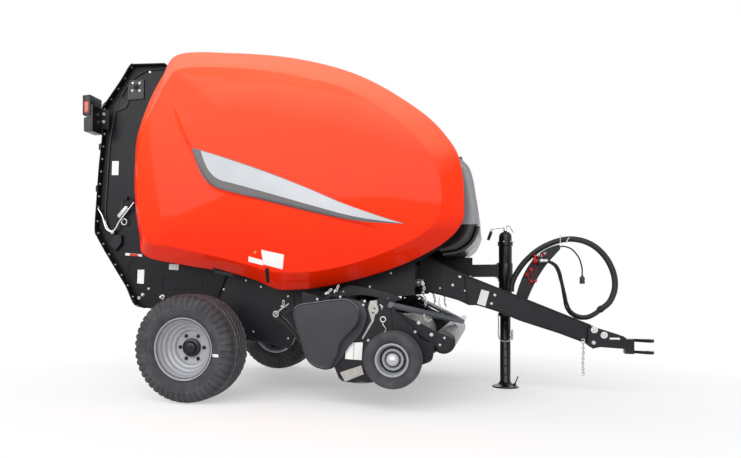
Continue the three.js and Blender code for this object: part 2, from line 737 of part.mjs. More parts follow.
const reelCore = 42;
const tineBarRadius = 15;
const tineBars = 4;
const spiders = 5;
const reelEnd = pickupSpan - 20;
const tineBarRing = reelRadius - tineBarRadius - 3;
const reelBars = Array.from({ length: tineBars }, (_, index) => {
  const angle = (index / tineBars) * Math.PI * 2;
  const place = {
    x: reelCentre.x + tineBarRing * Math.cos(angle),
    z: reelCentre.z + tineBarRing * Math.sin(angle),
  };
  return barY(tineBarRadius, -reelEnd, reelEnd, place, 8);
});
const reelSpiders = Array.from({ length: spiders }, (_, index) => {
  const middle = -reelEnd + 6 + (index * 2 * (reelEnd - 6)) / (spiders - 1);
  return barY(reelRadius, middle - 6, middle + 6, reelCentre, 16);
});
add('pickup_reel', join(
  barY(reelShaft, -pickupOuter - 10, pickupOuter + 10, reelCentre, 16),
  barY(reelCore, -reelEnd, reelEnd, reelCentre, 16),
  ...reelBars,
  ...reelSpiders,
), 'black');

const gaugeMiddle = gaugeInner + gaugeWidth / 2;
const gaugeLip = gaugeRim / 2;
const gaugeSeat = gaugeLip - 10;
const gaugeRimHalf = gaugeRimWidth / 2;
const gaugeRimWall = 8;
const gaugeSegments = 20;
function gaugeRimGeometry(side) {
  const well = gaugeSeat - 6;
  const bore = gaugeShaft + runningGap;
  const geometry = turnedY([
    [0, 46], [bore, 46], [bore, -55], [gaugeHub, -55], [gaugeHub, -22], [well - 24, -22], [well, -45],
    [well, -gaugeRimHalf], [gaugeLip, -gaugeRimHalf], [gaugeLip, -gaugeRimHalf + gaugeRimWall],
    [gaugeSeat, -gaugeRimHalf + gaugeRimWall], [gaugeSeat, gaugeRimHalf - gaugeRimWall],
    [gaugeLip, gaugeRimHalf - gaugeRimWall], [gaugeLip, gaugeRimHalf], [well, gaugeRimHalf],
    [well, 10], [well - 24, -10], [gaugeHub, -10], [gaugeHub, 42], [gaugeHub - 10, 52], [0, 52],
  ], { x: 0, z: 0 }, gaugeSegments);
  return side < 0 ? geometry.rotateZ(Math.PI) : geometry;
}

for (const [word, side] of sides) {
  const y = side * gaugeMiddle;
  const tyre = turnedY(tyreProfile({
    diameter: gaugeDiameter, width: gaugeWidth, lip: gaugeLip, seat: gaugeSeat,
    bead: gaugeRimHalf - gaugeRimWall - gap, shoulder: 14,
  }), { x: 0, z: 0 }, gaugeSegments);
  add(`gauge_tyre_${word}`, tyre.translate(gaugeCentre.x, y, gaugeCentre.z), 'rubber');
  add(`gauge_rim_${word}`, gaugeRimGeometry(side).translate(gaugeCentre.x, y, gaugeCentre.z), 'rim');
}

// ---------------------------------------------------------------- wind guard with its crop roller

const armY = pickupHalf - 45;
const armOuter = armY + armThickness;
const rollerShaft = 15;
const apex = [2038, 601];
const armRear = 42;              // the arm's half width at its pin and at the roller
const armFront = 60;

function armShape() {
  const reach = Math.atan2(crushRoller.z - guardPivot.z, crushRoller.x - guardPivot.x);
  const shape = new THREE.Shape();
  const { x, z } = guardPivot;
  shape.absarc(x, z, armRear, reach + Math.PI / 2, reach + 1.5 * Math.PI, false);
  shape.absarc(crushRoller.x, crushRoller.z, armFront, reach - Math.PI / 2, reach + Math.PI / 2, false);
  return shape;
}

const guardArms = sides.flatMap(([, side]) => {
  const [low, high] = span(side, armY, armOuter);
  const [pinLow, pinHigh] = span(side, armOuter - 3, pickupOuter + 4);
  const bore = barY(rollerShaft + runningGap, low - 5, high + 5, crushRoller);
  return [cut(plate(armShape(), low, high), bore), barY(guardPin, pinLow, pinHigh, guardPivot)];
});
const guardLine = [
  [1600, -armY - 4, 752], [1840, -500, 676], [2000, -110, 613], [apex[0], 0, apex[1]],
  [2000, 110, 613], [1840, 500, 676], [1600, armY + 4, 752],
];
add('windguard_frame', join(...guardArms, cord(guardLine, guardTube * 2, 12, 8)), 'black');
add('windguard_roller', join(
  barY(crushRollerRadius, -armY + 5, armY - 5, crushRoller),
  barY(rollerShaft, -armOuter, armOuter, crushRoller),
), 'steel');

// ---------------------------------------------------------------- drawbar and hitch

const topSlope = (590 - 1022) / (drawbarFront - 2021);
const drawbarTop = (x) => 1022 + topSlope * (x - 2021);
const drawbarProfile = [
  [beamFront + gap, 1160], [1774, 1151], [2021, 1022], [drawbarFront, drawbarTop(drawbarFront)],
  [drawbarFront, 432], [2977, 452], [2805, 518], [2499, 619], [2335, 690], [2159, 747], [2095, 746],
  [2005, 788], [1865, 829], [beamFront + gap, 871],
];
const bendX = 1880;
const rearHalf = drawbarRearWidth / 2;
const frontHalf = drawbarFrontWidth / 2;
const drawbarPlan = [
  [beamFront + gap, -rearHalf], [bendX, -rearHalf], [drawbarFront, -frontHalf],
  [drawbarFront, frontHalf], [bendX, rearHalf], [beamFront + gap, rearHalf],
];
const openRear = ([x, other]) => [x < beamFront + 40 ? x - 60 : x, other];
add('drawbar', toGeometry(
  toSolid(common(plate(drawbarProfile, -400, 400), slab(drawbarPlan, 0, 2000))).subtract(toSolid(common(
    plate(inset(drawbarProfile, drawbarWall).map(openRear), -400, 400),
    slab(inset(drawbarPlan, drawbarWall).map(openRear), 0, 2000),
  ))),
), 'black');

const cheekInner = frontHalf + gap + 6;
const cheekOuter = cheekInner + cheekThickness;
const cheekOutline = [
  [3034, 424], [3069, 396], [3125, 410], [3319, 399], [3319, 488], [3296, 503], [3064, 578], [3034, 560],
];
add('hitch_plates', join(
  ...sides.map(([, side]) => plate(cheekOutline, ...span(side, cheekInner, cheekOuter))),
  box([3225, -cheekInner - 2, 410], [3319, cheekInner + 2, 480]),
  box([drawbarFront + gap, -cheekInner - 2, 440], [drawbarFront + 20, cheekInner + 2, 540]),
), 'black');

const forkBase = 3319 + gap;
const forkShape = (() => {
  const half = forkWidth / 2;
  const shape = new THREE.Shape();
  shape.moveTo(forkBase + 60, -half);
  shape.absarc(forkTip - half, 0, half, -Math.PI / 2, Math.PI / 2, false);
  shape.lineTo(forkBase + 60, half);
  return shape;
})();
const prong = (low, high) => new THREE.ExtrudeGeometry(forkShape, {
  depth: high - low, bevelEnabled: false, curveSegments: 6,
}).translate(0, 0, low);
const forkLevels = [357, 379, 451, 475];
add('hitch_fork', cut(join(
  box([forkBase, -forkWidth / 2, forkLevels[0]], [forkBase + 66, forkWidth / 2, forkLevels[3]]),
  prong(forkLevels[0], forkLevels[1]),
  prong(forkLevels[2], forkLevels[3]),
), barZ(forkHole, 300, 520, forkTip - forkWidth / 2, 0, 16)), 'black');

// ---------------------------------------------------------------- parking jack

const jackInner = jackRadius - jackWall;
const jackBottom = 640;
const jackTop = 1300;
const headHeight = 98;           // the gear head above the flange
const ring = (outer, inner, low, high) => cut(
  barZ(outer, low, high, jackX, jackY), barZ(inner, low - 1, high + 1, jackX, jackY));
add('jack_tube', join(
  ring(jackRadius, jackInner, jackBottom, jackTop - 10),
  barZ(jackRadius + 10, jackTop - 40, jackTop, jackX, jackY),
  barZ(jackRadius - 3, jackTop - 5, jackTop + headHeight - 20, jackX, jackY),
  barZ(jackRadius - 16, jackTop + headHeight - 25, jackTop + headHeight, jackX, jackY),
), 'black');
add('jack_leg', join(
  barZ(jackInner - 2, 10, 800, jackX, jackY),
  barZ(jackInner - gap, 740, 790, jackX, jackY),
  new THREE.LatheGeometry([[0, 0], [footRadius, 0], [footRadius, 8], [60, 26], [0, 26]]
    .map(([radius, height]) => new THREE.Vector2(radius, height)), 24)
    .rotateX(Math.PI / 2).translate(jackX, jackY, 0),
), 'black');

const armLow = jackY - 35;
const armHigh = jackY + 35;
const sleeveSide = rearHalf + gap;
add('jack_arm', join(
  box([beamFront + gap, sleeveSide, 1000], [2110, armHigh + 5, 1165]),
  box([2100, armLow, 990], [jackX - jackRadius - 12, armHigh, 1102]),
  box([jackX - jackRadius - 14, armLow - 12, 975], [jackX - jackRadius - gap, armHigh + 12, 1117]),
), 'black');

const crankZ = jackTop + headHeight + gap;
add('jack_crank', join(
  barZ(11, crankZ, crankZ + 44, jackX, jackY, 12),
  barX(9, jackX - 150, jackX + 20, jackY, crankZ + 35, 12),
  barZ(9, crankZ - 26, crankZ + 43, jackX - 150, jackY, 12),
  barZ(14, crankZ - 86, crankZ - 16, jackX - 150, jackY, 12),
), 'steel');

// ---------------------------------------------------------------- hoses and their carrier

function carrierShape() {
  const shape = new THREE.Shape();
  shape.moveTo(2478, drawbarTop(2478) + gap);
  shape.lineTo(2570, drawbarTop(2570) + gap);
  shape.quadraticCurveTo(2640, 980, 2737, 1108);
  shape.lineTo(2830, 1215);
  shape.lineTo(2824, 1255);
  shape.quadraticCurveTo(2720, 1235, 2650, 1170);
  shape.quadraticCurveTo(2540, 1070, 2478, drawbarTop(2478) + gap);
  return shape;
}
const rackY = 90;
add('hose_carrier', join(
  plate(carrierShape(), 0, 12),
  box([2650, -rackY, 1090], [2662, rackY, 1150]),
), 'black');

const sleevePath = [
  [2440, 60, 858.5], [2446, 60, 925], [2480, 60, 1010], [2560, 60, 1125], [2680, 60, 1228], [2830, 60, 1292],
  [2960, 60, 1298], [3085, 60, 1250], [3185, 60, 1150], [3246, 60, 1020], [3258, 60, 890], [3218, 60, 775],
  [3140, 60, 705],
];
add('hose_sleeve', cord(sleevePath, sleeveDiameter, 22, 10), 'rubber');

const hosePaths = [
  [[3139.5, 47, 704.5], [3109.7, 47, 677.9], [3048, 47, 647], [2979, 44, 650], [2921, 34, 686],
    [2888, 18, 747], [2872, -4, 815], [2855, -27, 882], [2838, -47, 950], [2822, -61, 1018],
    [2791, -69, 1079], [2732, -70, 1114], [2663, -70, 1118]],
  [[3147, 66.5, 696.1], [3117.2, 66.5, 669.5], [3054, 66, 636], [2982, 64, 635], [2919, 57, 668],
    [2878, 44, 727], [2862, 27, 797], [2849, 10, 868], [2836, -6, 939], [2823, -17, 1010],
    [2795, -23, 1075], [2735, -24, 1114], [2663, -24, 1118]],
  [[3132, 66.5, 712.9], [3102.2, 66.5, 686.3], [3042, 69, 657], [2976, 76, 662], [2921, 86, 701],
    [2894, 95, 763], [2875, 101, 828], [2857, 102, 893], [2839, 98, 958], [2821, 89, 1023],
    [2789, 80, 1082], [2730, 73, 1115], [2663, 70, 1118]],
];
hosePaths.forEach((path, index) => {
  add(`hose_${index + 1}`, cord(path, hoseDiameter, 18), 'rubber');
});

const cablePath = [
  [2828, 6, 1235], [2860, 8, 1238], [2920, 20, 1215], [2975, 35, 1150], [3000, 45, 1080], [3006, 48, 1040],
  [3006, 48, 1003.5],
];
add('control_cable', cord(cablePath, cableDiameter, 14), 'rubber');
add('cable_plug', barZ(21, 925, 1003, 3006, 48, 16), 'plastic');

// ---------------------------------------------------------------- the whole machine

const machine = new THREE.Group();
machine.name = 'round_baler';
machine.add(...nodes);
machine.position.x = -(lampRear + forkTip) / 2;

const group = new THREE.Group();
group.add(machine);

export default group;
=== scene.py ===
# %% [markdown]
# # A round baler, finished
# The CAD model gives every plate, shaft and wheel its true place. This script adds what the eye looks for:
# the lacquer on the side panels, the tread on the tyres, the strips and tines of the pickup, bolts, chains,
# hoses and lamps. Shapes are worked out with numpy as whole arrays; finishes are small graphs of shader nodes.
#
# Lengths are metres. Most places are given as they are drawn in the CAD, in millimetres from the ground under
# the axle: x towards the tractor, y to the machine's left, z up. `mm` turns them into the frame's metres.

# %% Load the fixed frame
import json
import math

import bmesh
import bpy
import numpy as np
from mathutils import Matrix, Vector


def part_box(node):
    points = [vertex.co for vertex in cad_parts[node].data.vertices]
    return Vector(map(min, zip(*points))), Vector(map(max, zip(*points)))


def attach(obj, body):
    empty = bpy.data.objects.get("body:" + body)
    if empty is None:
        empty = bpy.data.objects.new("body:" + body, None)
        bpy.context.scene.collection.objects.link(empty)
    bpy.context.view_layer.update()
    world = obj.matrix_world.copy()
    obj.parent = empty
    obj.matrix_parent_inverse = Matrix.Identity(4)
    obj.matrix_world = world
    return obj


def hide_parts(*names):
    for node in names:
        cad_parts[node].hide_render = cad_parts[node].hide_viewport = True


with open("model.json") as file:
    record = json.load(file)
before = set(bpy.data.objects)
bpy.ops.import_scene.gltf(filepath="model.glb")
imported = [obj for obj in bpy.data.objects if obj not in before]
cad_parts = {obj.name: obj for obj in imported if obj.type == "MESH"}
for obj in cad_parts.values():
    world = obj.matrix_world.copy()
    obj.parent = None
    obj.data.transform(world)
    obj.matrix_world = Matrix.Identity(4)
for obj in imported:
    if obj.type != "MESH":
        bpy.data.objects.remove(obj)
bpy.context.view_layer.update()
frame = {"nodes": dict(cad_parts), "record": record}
tyre_low, tyre_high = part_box("tyre_right")
axle_x = (tyre_low.x + tyre_high.x) / 2
axle_z = (tyre_low.z + tyre_high.z) / 2
tyre_y = -(tyre_low.y + tyre_high.y) / 2
print("nodes", len(frame["nodes"]), "axle at", round(axle_x, 3), round(axle_z, 4))


def mm(points):
    """Places in millimetres from the ground under the axle, as metres in the frame: p / 1000 + (axle_x, 0, 0)."""
    return np.asarray(points, float) / 1000 + np.array([axle_x, 0, 0])


# %% [markdown]
# ## The camera
# The machine is looked at from its right side, a little from the front, with the camera level at hub height
# and the picture moved up and right by a lens shift, so that upright edges stay upright.

# %% Camera
camera_data = bpy.data.cameras.new("camera")
camera = bpy.data.objects.new("camera", camera_data)
bpy.context.scene.collection.objects.link(camera)
camera.location = (1.090, -5.71, 0.888)
camera.rotation_euler = (math.radians(90), 0, math.radians(15.53))
camera_data.sensor_width = 36
camera_data.lens = 31.09
camera_data.shift_x = 0.079
camera_data.shift_y = 0.080
bpy.context.scene.camera = camera
bpy.context.scene.view_settings.view_transform = "Standard"

# %% [markdown]
# ## Solids as arrays
# Every new piece starts as a *solid*: an array of corners and a list of face arrays. Four makers cover nearly
# everything on a farm machine: something turned on a lathe, something swept along a path, a plate cut from an
# outline, and many copies of one small thing. All of them work on whole arrays, which is quick and exact.


# %% Rows and columns of corners become faces
def grid_faces(rows, columns, wrap_rows=False, wrap_columns=True):
    """Quads between neighbours (i, j), (i, j+1), (i+1, j+1), (i+1, j) of a rows x columns grid."""
    index = np.arange(rows * columns).reshape(rows, columns)
    if wrap_rows:
        index = np.vstack([index, index[:1]])
    if wrap_columns:
        index = np.hstack([index, index[:, :1]])
    corners = (index[:-1, :-1], index[:-1, 1:], index[1:, 1:], index[1:, :-1])
    return np.stack(corners, -1).reshape(-1, 4)


def merged(*solids):
    """One solid from several: the corners are stacked and each face array is shifted by what came before."""
    points, faces, count = [], [], 0
    for corners, parts in solids:
        points.append(corners)
        faces += [part + count for part in parts]
        count += len(corners)
    return np.vstack(points), faces


def moved(solid, offset=(0, 0, 0), turn=None):
    """The solid turned by a 3 x 3 matrix and then shifted: p' = R p + t."""
    corners, faces = solid
    turn = np.eye(3) if turn is None else np.asarray(turn, float)
    return corners @ turn.T + np.asarray(offset, float), faces


def mirrored(solid):
    """The same piece on the machine's other side: y becomes -y, and each face is listed backwards."""
    corners, faces = solid
    return corners * np.array([1, -1, 1]), [part[:, ::-1] for part in faces]


def copies(solid, places, turns=None):
    """Many copies at once: corner p of copy k lies at R_k p + t_k."""
    corners, faces = solid
    places = np.asarray(places, float).reshape(-1, 3)
    turns = np.broadcast_to(np.eye(3), (len(places), 3, 3)) if turns is None else np.asarray(turns, float)
    points = np.einsum("kab,nb->kna", turns, corners) + places[:, None, :]
    shift = np.arange(len(places))[:, None, None] * len(corners)
    return points.reshape(-1, 3), [(part[None] + shift).reshape(-1, part.shape[1]) for part in faces]


def turn_about(axis, angle):
    """The matrix of a turn by an angle in radians about 0 = x, 1 = y or 2 = z."""
    c, s = math.cos(angle), math.sin(angle)
    first, second = [(1, 2), (2, 0), (0, 1)][axis]
    matrix = np.eye(3)
    matrix[first, first] = matrix[second, second] = c
    matrix[first, second], matrix[second, first] = -s, s
    return matrix


def pointing(direction, toward=(0, 0, 1)):
    """A turn that takes +Y to a direction: columns are side, direction and up = side x direction."""
    along = np.asarray(direction, float) / np.linalg.norm(direction)
    side = np.cross(along, toward)
    side /= np.linalg.norm(side)
    return np.stack([side, along, np.cross(side, along)], 1)


# %% Lathe, sweep and plate
def turned(profile, steps=48):
    """A profile of (radius, y) pairs spun about the y axis: (r cos a, y, r sin a). Ends on the axis close up."""
    profile = np.asarray(profile, float)
    angles = np.linspace(0, 2 * np.pi, steps, endpoint=False)
    on_axis = profile[:, 0] < 1e-9
    ring = profile[~on_axis]
    points = np.stack([
        ring[:, :1] * np.cos(angles), np.repeat(ring[:, 1:], steps, 1), ring[:, :1] * np.sin(angles)], -1)
    count = len(ring)
    corners = points.reshape(-1, 3)
    closed = not (on_axis[0] or on_axis[-1])
    faces = [grid_faces(count, steps, wrap_rows=closed)]
    step = np.arange(steps)
    follow = (step + 1) % steps
    if on_axis[0]:
        tip = len(corners)
        corners = np.vstack([corners, [0, profile[0, 1], 0]])
        faces.append(np.stack([np.full(steps, tip), follow, step], 1))
    if on_axis[-1]:
        tip = len(corners)
        last = (count - 1) * steps
        corners = np.vstack([corners, [0, profile[-1, 1], 0]])
        faces.append(np.stack([np.full(steps, tip), last + step, last + follow], 1))
    return corners, faces


def smooth_line(points, count, closed=False):
    """A Catmull-Rom curve through the points, at `count` places: the cubic of each span, whole arrays at once."""
    points = np.asarray(points, float)
    spans = len(points) if closed else len(points) - 1
    if closed:
        padded = np.vstack([points[-1:], points, points[:2]])
    else:
        padded = np.vstack([2 * points[0] - points[1], points, 2 * points[-1] - points[-2]])
    dense = np.linspace(0, spans, spans * 40 + 1)
    span = np.minimum(dense.astype(int), spans - 1)
    t = (dense - span)[:, None]
    a, b, c, d = (padded[span + k] for k in range(4))
    curve = 0.5 * (2 * b + (c - a) * t + (2 * a - 5 * b + 4 * c - d) * t**2 + (3 * b - a - 3 * c + d) * t**3)
    length = np.concatenate([[0], np.cumsum(np.linalg.norm(np.diff(curve, axis=0), axis=1))])
    wanted = np.linspace(0, length[-1], count, endpoint=not closed)
    return np.stack([np.interp(wanted, length, curve[:, k]) for k in range(curve.shape[1])], 1)


def circle(radius, sides=12):
    """A round section of (across, up) pairs."""
    angles = np.linspace(0, 2 * np.pi, sides, endpoint=False)
    return radius * np.stack([np.cos(angles), np.sin(angles)], 1)


def swept(path, section, toward=(0, 0, 1), scale=None, closed=False):
    """A section carried along a path: p = path + side * u + up * v, with side = tangent x toward."""
    path = np.asarray(path, float)
    ahead = np.roll(path, -1, 0) if closed else np.vstack([path[1:], 2 * path[-1] - path[-2]])
    behind = np.roll(path, 1, 0) if closed else np.vstack([2 * path[0] - path[1], path[:-1]])
    tangent = ahead - behind
    tangent /= np.linalg.norm(tangent, axis=1, keepdims=True)
    side = np.cross(tangent, toward)
    side /= np.linalg.norm(side, axis=1, keepdims=True)
    up = np.cross(side, tangent)
    size = np.ones(len(path)) if scale is None else np.asarray(scale, float)
    u, v = section[:, 0], section[:, 1]
    rings = path[:, None] + size[:, None, None] * (side[:, None] * u[:, None] + up[:, None] * v[:, None])
    corners = rings.reshape(-1, 3)
    sides = len(section)
    faces = [grid_faces(len(path), sides, wrap_rows=closed)]
    if not closed:
        faces += [np.arange(sides)[None, ::-1], (len(path) - 1) * sides + np.arange(sides)[None]]
    return corners, faces


def on_plane(flat, y):
    """Places (x, z) as (x, y, z) on the plane y."""
    return np.stack([flat[:, 0], np.full(len(flat), y), flat[:, 1]], 1)


def plate(outline, low, high):
    """A flat outline of (x, z) pairs made solid from y = low to y = high."""
    outline = np.asarray(outline, float)
    count = len(outline)
    flat = on_plane(outline, 0)
    corners = np.vstack([flat + [0, low, 0], flat + [0, high, 0]])
    ring = np.arange(count)
    walls = np.stack([ring, (ring + 1) % count, (ring + 1) % count + count, ring + count], 1)
    return corners, [walls, ring[None, ::-1], ring[None] + count]


def block(low, high):
    """A box between two corners."""
    low, high = np.asarray(low, float), np.asarray(high, float)
    outline = [(low[0], low[2]), (high[0], low[2]), (high[0], high[2]), (low[0], high[2])]
    return plate(outline, low[1], high[1])


def ring_points(centre, radius, start, stop, count):
    """Places on an arc in x and z, angles in degrees."""
    angles = np.radians(np.linspace(start, stop, count))
    return np.stack([centre[0] + radius * np.cos(angles), centre[1] + radius * np.sin(angles)], 1)


def bent(points, count, radius, sides=8, toward=(0, 1, 0)):
    """A round wire or tube along the smooth line through the points."""
    return swept(smooth_line(points, count), circle(radius, sides), toward=toward)


def hoop(centre, radius, y, thickness, steps, sides=10):
    """A round wire bent into a ring about (x, z) on the plane y."""
    line = on_plane(ring_points(centre, radius, 0, 360 - 360 / steps, steps), y)
    return swept(line, circle(thickness, sides), toward=(0, 1, 0), closed=True)


def skin_between(outer, inner):
    """A closed solid between two grids of places: both skins, and walls along the border."""
    rows, columns = outer.shape[:2]
    count = rows * columns
    skin = grid_faces(rows, columns, wrap_columns=False)
    index = np.arange(count).reshape(rows, columns)
    border = np.concatenate([index[0], index[1:, -1], index[-1, -2::-1], index[-2:0:-1, 0]])
    walls = np.stack([border, np.roll(border, -1), np.roll(border, -1) + count, border + count], 1)
    return np.concatenate([outer.reshape(-1, 3), inner.reshape(-1, 3)]), [skin, skin[:, ::-1] + count, walls]


# %% A solid becomes a piece of the machine
made = {}
usual_slot = {name: slot for slot, names in (
    ("band_steel", "galvanised"),
    ("belt_rubber", "belt_rubber"),
    ("black_paint", "black_coat gloss_black label_white seal_black tube_dark tube_paint"),
    ("cover_plastic", "charcoal_plastic edge_grey"),
    ("crank_steel", "bright_steel latch_brass zinc_plate"),
    ("grey_plastic", "cap_red hood_two_tone"),
    ("hose_rubber", "seal_rubber"),
    ("lamp_plastic", "lens_grey lens_orange lens_red"),
    ("red_paint", "red_paint stripe_grey stripe_silver"),
    ("roller_steel", "roller_steel")) for name in names.split()}


def piece(name, solid, finish, body="chassis", slot=None, smooth=30, bevel=0, replaces=()):
    """Puts a solid into a mesh, makes its faces point outwards, and lets it ride on a body of the frame. The solid is
    in the drawing's millimetres; smooth is in degrees and bevel in metres. The slot, given or the finish's usual
    one, is worked out but not kept."""
    corners, faces = solid
    slot = slot or usual_slot[finish.name.split(".")[0]]
    mesh = bpy.data.meshes.new(name)
    mesh.from_pydata(mm(corners).tolist(), [], [row for part in faces for row in part.tolist()])
    work = bmesh.new()
    work.from_mesh(mesh)
    bmesh.ops.remove_doubles(work, verts=work.verts, dist=1e-6)
    bmesh.ops.recalc_face_normals(work, faces=work.faces)
    work.to_mesh(mesh)
    work.free()
    mesh.materials.append(finish)
    mesh.polygons.foreach_set("use_smooth", np.ones(len(mesh.polygons), bool))
    mesh.set_sharp_from_angle(angle=math.radians(smooth))
    item = bpy.data.objects.new(name, mesh)
    bpy.context.scene.collection.objects.link(item)
    if bevel:
        edge = item.modifiers.new("edge", "BEVEL")
        edge.width = bevel
        edge.segments = 2
        edge.limit_method = "ANGLE"
        edge.angle_limit = math.radians(40)
    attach(item, body)
    if replaces:
        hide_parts(*replaces)
    made[name] = len(mesh.polygons)
    return item


both_sides = (("left", lambda solid: solid), ("right", mirrored))


def pair(name, solid, finish, body="chassis", slot=None, replaces=(), **options):
    """The same piece on the left and, mirrored, on the right. {} in a body or a replaced node is the side's name."""
    for side, turn in both_sides:
        piece(f"{name}_{side}", turn(solid), finish, body.format(side), slot,
              replaces=[node.format(side) for node in replaces], **options)


def middle_of(node):
    """The middle of a CAD node's box, in the drawing's millimetres: the inverse of `mm`."""
    low, high = (np.array(corner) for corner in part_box(node))
    return ((low + high) / 2 - [axle_x, 0, 0]) * 1000


# %% [markdown]
# ## Shader maths in Python
# A finish is a graph of nodes. Wiring them by hand is slow to read, so one small class wraps a socket: adding or
# multiplying two of them adds the Math node that does it. One method makes any other node.


# %% A socket that can be added and multiplied
class Field:
    """The output of a node, used like a number: field * 2 + 1 adds two Math nodes."""

    def __init__(self, graph, socket):
        self.graph = graph
        self.socket = socket

    def _with(self, operation, first, second):
        return self.graph.node("ShaderNodeMath", {"operation": operation}, {0: first, 1: second})

    def __add__(self, other):
        return self._with("ADD", self, other)

    __radd__ = __add__

    def __mul__(self, other):
        return self._with("MULTIPLY", self, other)

    __rmul__ = __mul__

    def __sub__(self, other):
        return self._with("SUBTRACT", self, other)

    def __rsub__(self, other):
        return self._with("SUBTRACT", other, self)

    def __pow__(self, other):
        return self._with("POWER", self, other)

    def over(self, edge, width):
        """0 below the edge, 1 above edge + width, and a straight ramp between them."""
        ramp = self.graph.node(
            "ShaderNodeMapRange", {"clamp": True}, {0: self, 1: edge, 2: edge + width, 3: 0.0, 4: 1.0})
        return ramp


def socket_name(word):
    """coat_ior -> Coat IOR: the shader's own name of a socket."""
    return word.replace("_", " ").title().replace("Ior", "IOR")


class Graph:
    """The node graph of one finish, with its Principled shader."""

    def __init__(self, name, **constants):
        self.material = bpy.data.materials.new(name)
        self.material.use_nodes = True
        self.nodes = self.material.node_tree.nodes
        self.links = self.material.node_tree.links
        self.shader = self.nodes["Principled BSDF"]
        for key, value in constants.items():
            self.shader.inputs[socket_name(key)].default_value = value
        self.place = self.node("ShaderNodeTexCoord", output="Object")

    def node(self, kind, settings=None, inputs=None, output=0):
        """Adds a node: its settings first, then its sockets' numbers or links. Returns one output as a Field."""
        made_node = self.nodes.new(kind)
        for key, value in (settings or {}).items():
            setattr(made_node, key, value)
        for key, value in (inputs or {}).items():
            if isinstance(value, Field):
                self.links.new(value.socket, made_node.inputs[key])
            else:
                made_node.inputs[key].default_value = value
        return Field(self, made_node.outputs[output])

    def noise(self, scale, detail=3, roughness=0.55, place=None):
        """Cloudy noise between 0 and 1, `scale` lumps to the metre."""
        vector = self.place if place is None else place
        return self.node("ShaderNodeTexNoise", None, {
            "Vector": vector, "Scale": scale, "Detail": detail, "Roughness": roughness})

    def axis(self, which, place=None):
        """One coordinate of the piece: 0 = x, 1 = y, 2 = z."""
        vector = self.place if place is None else place
        return self.node("ShaderNodeSeparateXYZ", None, {0: vector}, output=which)

    def blend(self, share, first, second):
        """A colour between two others."""
        colours = {6: self.colour(first), 7: self.colour(second)}
        return self.node("ShaderNodeMix", {"data_type": "RGBA"}, {0: share, **colours}, output=2)

    def colour(self, value):
        return value if isinstance(value, Field) else (*value, 1.0)

    def feed(self, **fields):
        """Links fields to the shader's sockets, by name."""
        for key, field in fields.items():
            self.links.new(field.socket, self.shader.inputs[socket_name(key)])
        return self.material

    def bump(self, height, distance, strength=1.0):
        """Turns a height field into a normal for the shader."""
        normal = self.node("ShaderNodeBump", None, {"Height": height, "Distance": distance, "Strength": strength})
        self.links.new(normal.socket, self.shader.inputs["Normal"])


def srgb(red, green, blue):
    """A colour given as 0 to 255 on screen, as the linear numbers a shader takes."""
    value = np.array([red, green, blue]) / 255
    linear = np.where(value <= 0.04045, value / 12.92, ((value + 0.055) / 1.055) ** 2.4)
    return tuple(float(v) for v in linear)


# %% [markdown]
# ## Finishes
# The panels are lacquered: a saturated red under a clear coat with the fine ripple of sprayed paint. The frame is
# powder-coated black, which is rougher and gathers dust. Covers are moulded plastic with a grain; rims are silver
# paint; bolts and chains are zinc. Each finish varies a little over the surface, as real ones do.


# %% Finishes
def lacquer(name, colour, deep, coat=1.0, ripple=0.00005, specular=0.15, painted_sky_reflection=None):
    """Sprayed paint under a clear coat: colour drifts slowly and the coat has a ripple. With the last colour given, a
    painted sky reflection lightens the paint high up, a painted highlight lightens faces that look up, and painted
    shade darkens faces that look down.
    """
    g = Graph(name, coat_weight=coat, coat_roughness=0.05, coat_ior=1.5, specular_ior_level=specular)
    shade = g.blend(g.noise(1.7, 2).over(0.3, 0.5), colour, deep)
    if painted_sky_reflection:
        # painted reflection of the sky: the colour turns lighter high up on the panel
        shade = g.blend(g.axis(2).over(1.2, 1.3), shade, painted_sky_reflection)
        facing = g.node("ShaderNodeNewGeometry", output="Normal")
        upward = g.axis(2, facing)
        # painted highlight: faces that look up turn a lighter salmon
        shade = g.blend(upward.over(0.12, 0.5) * 0.62, shade, srgb(255, 150, 118))
        # painted shade: faces that look down turn a darker red
        shade = g.blend((upward * -1).over(0.08, 0.4) * 0.6, shade, srgb(190, 30, 4))
    g.bump(g.noise(260, 2), ripple, 0.5)
    return g.feed(base_color=shade, roughness=g.noise(9) * 0.1 + 0.26)


def powder(name, colour, dust, roughness=0.4, dusty=0.25, specular=0.32):
    """Powder coat: a fine texture, dust in slow patches that lies more thickly low down."""
    g = Graph(name, specular_ior_level=specular)
    patches = g.noise(5, 4).over(0.35, 0.5)
    low = 1 - g.axis(2).over(0.1, 1.4)
    g.bump(g.noise(900, 1), 0.00004, 0.6)
    shade = g.blend(patches * (low * 0.7 + 0.3) * dusty, colour, dust)
    return g.feed(base_color=shade, roughness=g.noise(14) * 0.16 + roughness - 0.08 + patches * 0.06)


def moulded(name, colour, worn, grain=1100, roughness=0.5):
    """Moulded plastic: an even grain of small pits and a slightly paler bloom."""
    g = Graph(name, specular_ior_level=0.4)
    g.bump(g.noise(grain, 2), 0.0001, 0.7)
    return g.feed(
        base_color=g.blend(g.noise(4, 3).over(0.3, 0.6), colour, worn), roughness=g.noise(20) * 0.12 + roughness)


def zinc(name, colour, stain, roughness=0.35, spangle=90):
    """Zinc-plated or galvanised steel: crystal patches that differ in shade and gloss."""
    g = Graph(name, metallic=0.9)
    cells = g.node("ShaderNodeTexVoronoi", None, {"Vector": g.place, "Scale": spangle}, output="Color")
    patch = g.node("ShaderNodeRGBToBW", None, {0: cells})
    g.bump(g.noise(500, 2), 0.00005, 0.5)
    return g.feed(base_color=g.blend(patch, colour, stain), roughness=patch * 0.2 + roughness - 0.05)


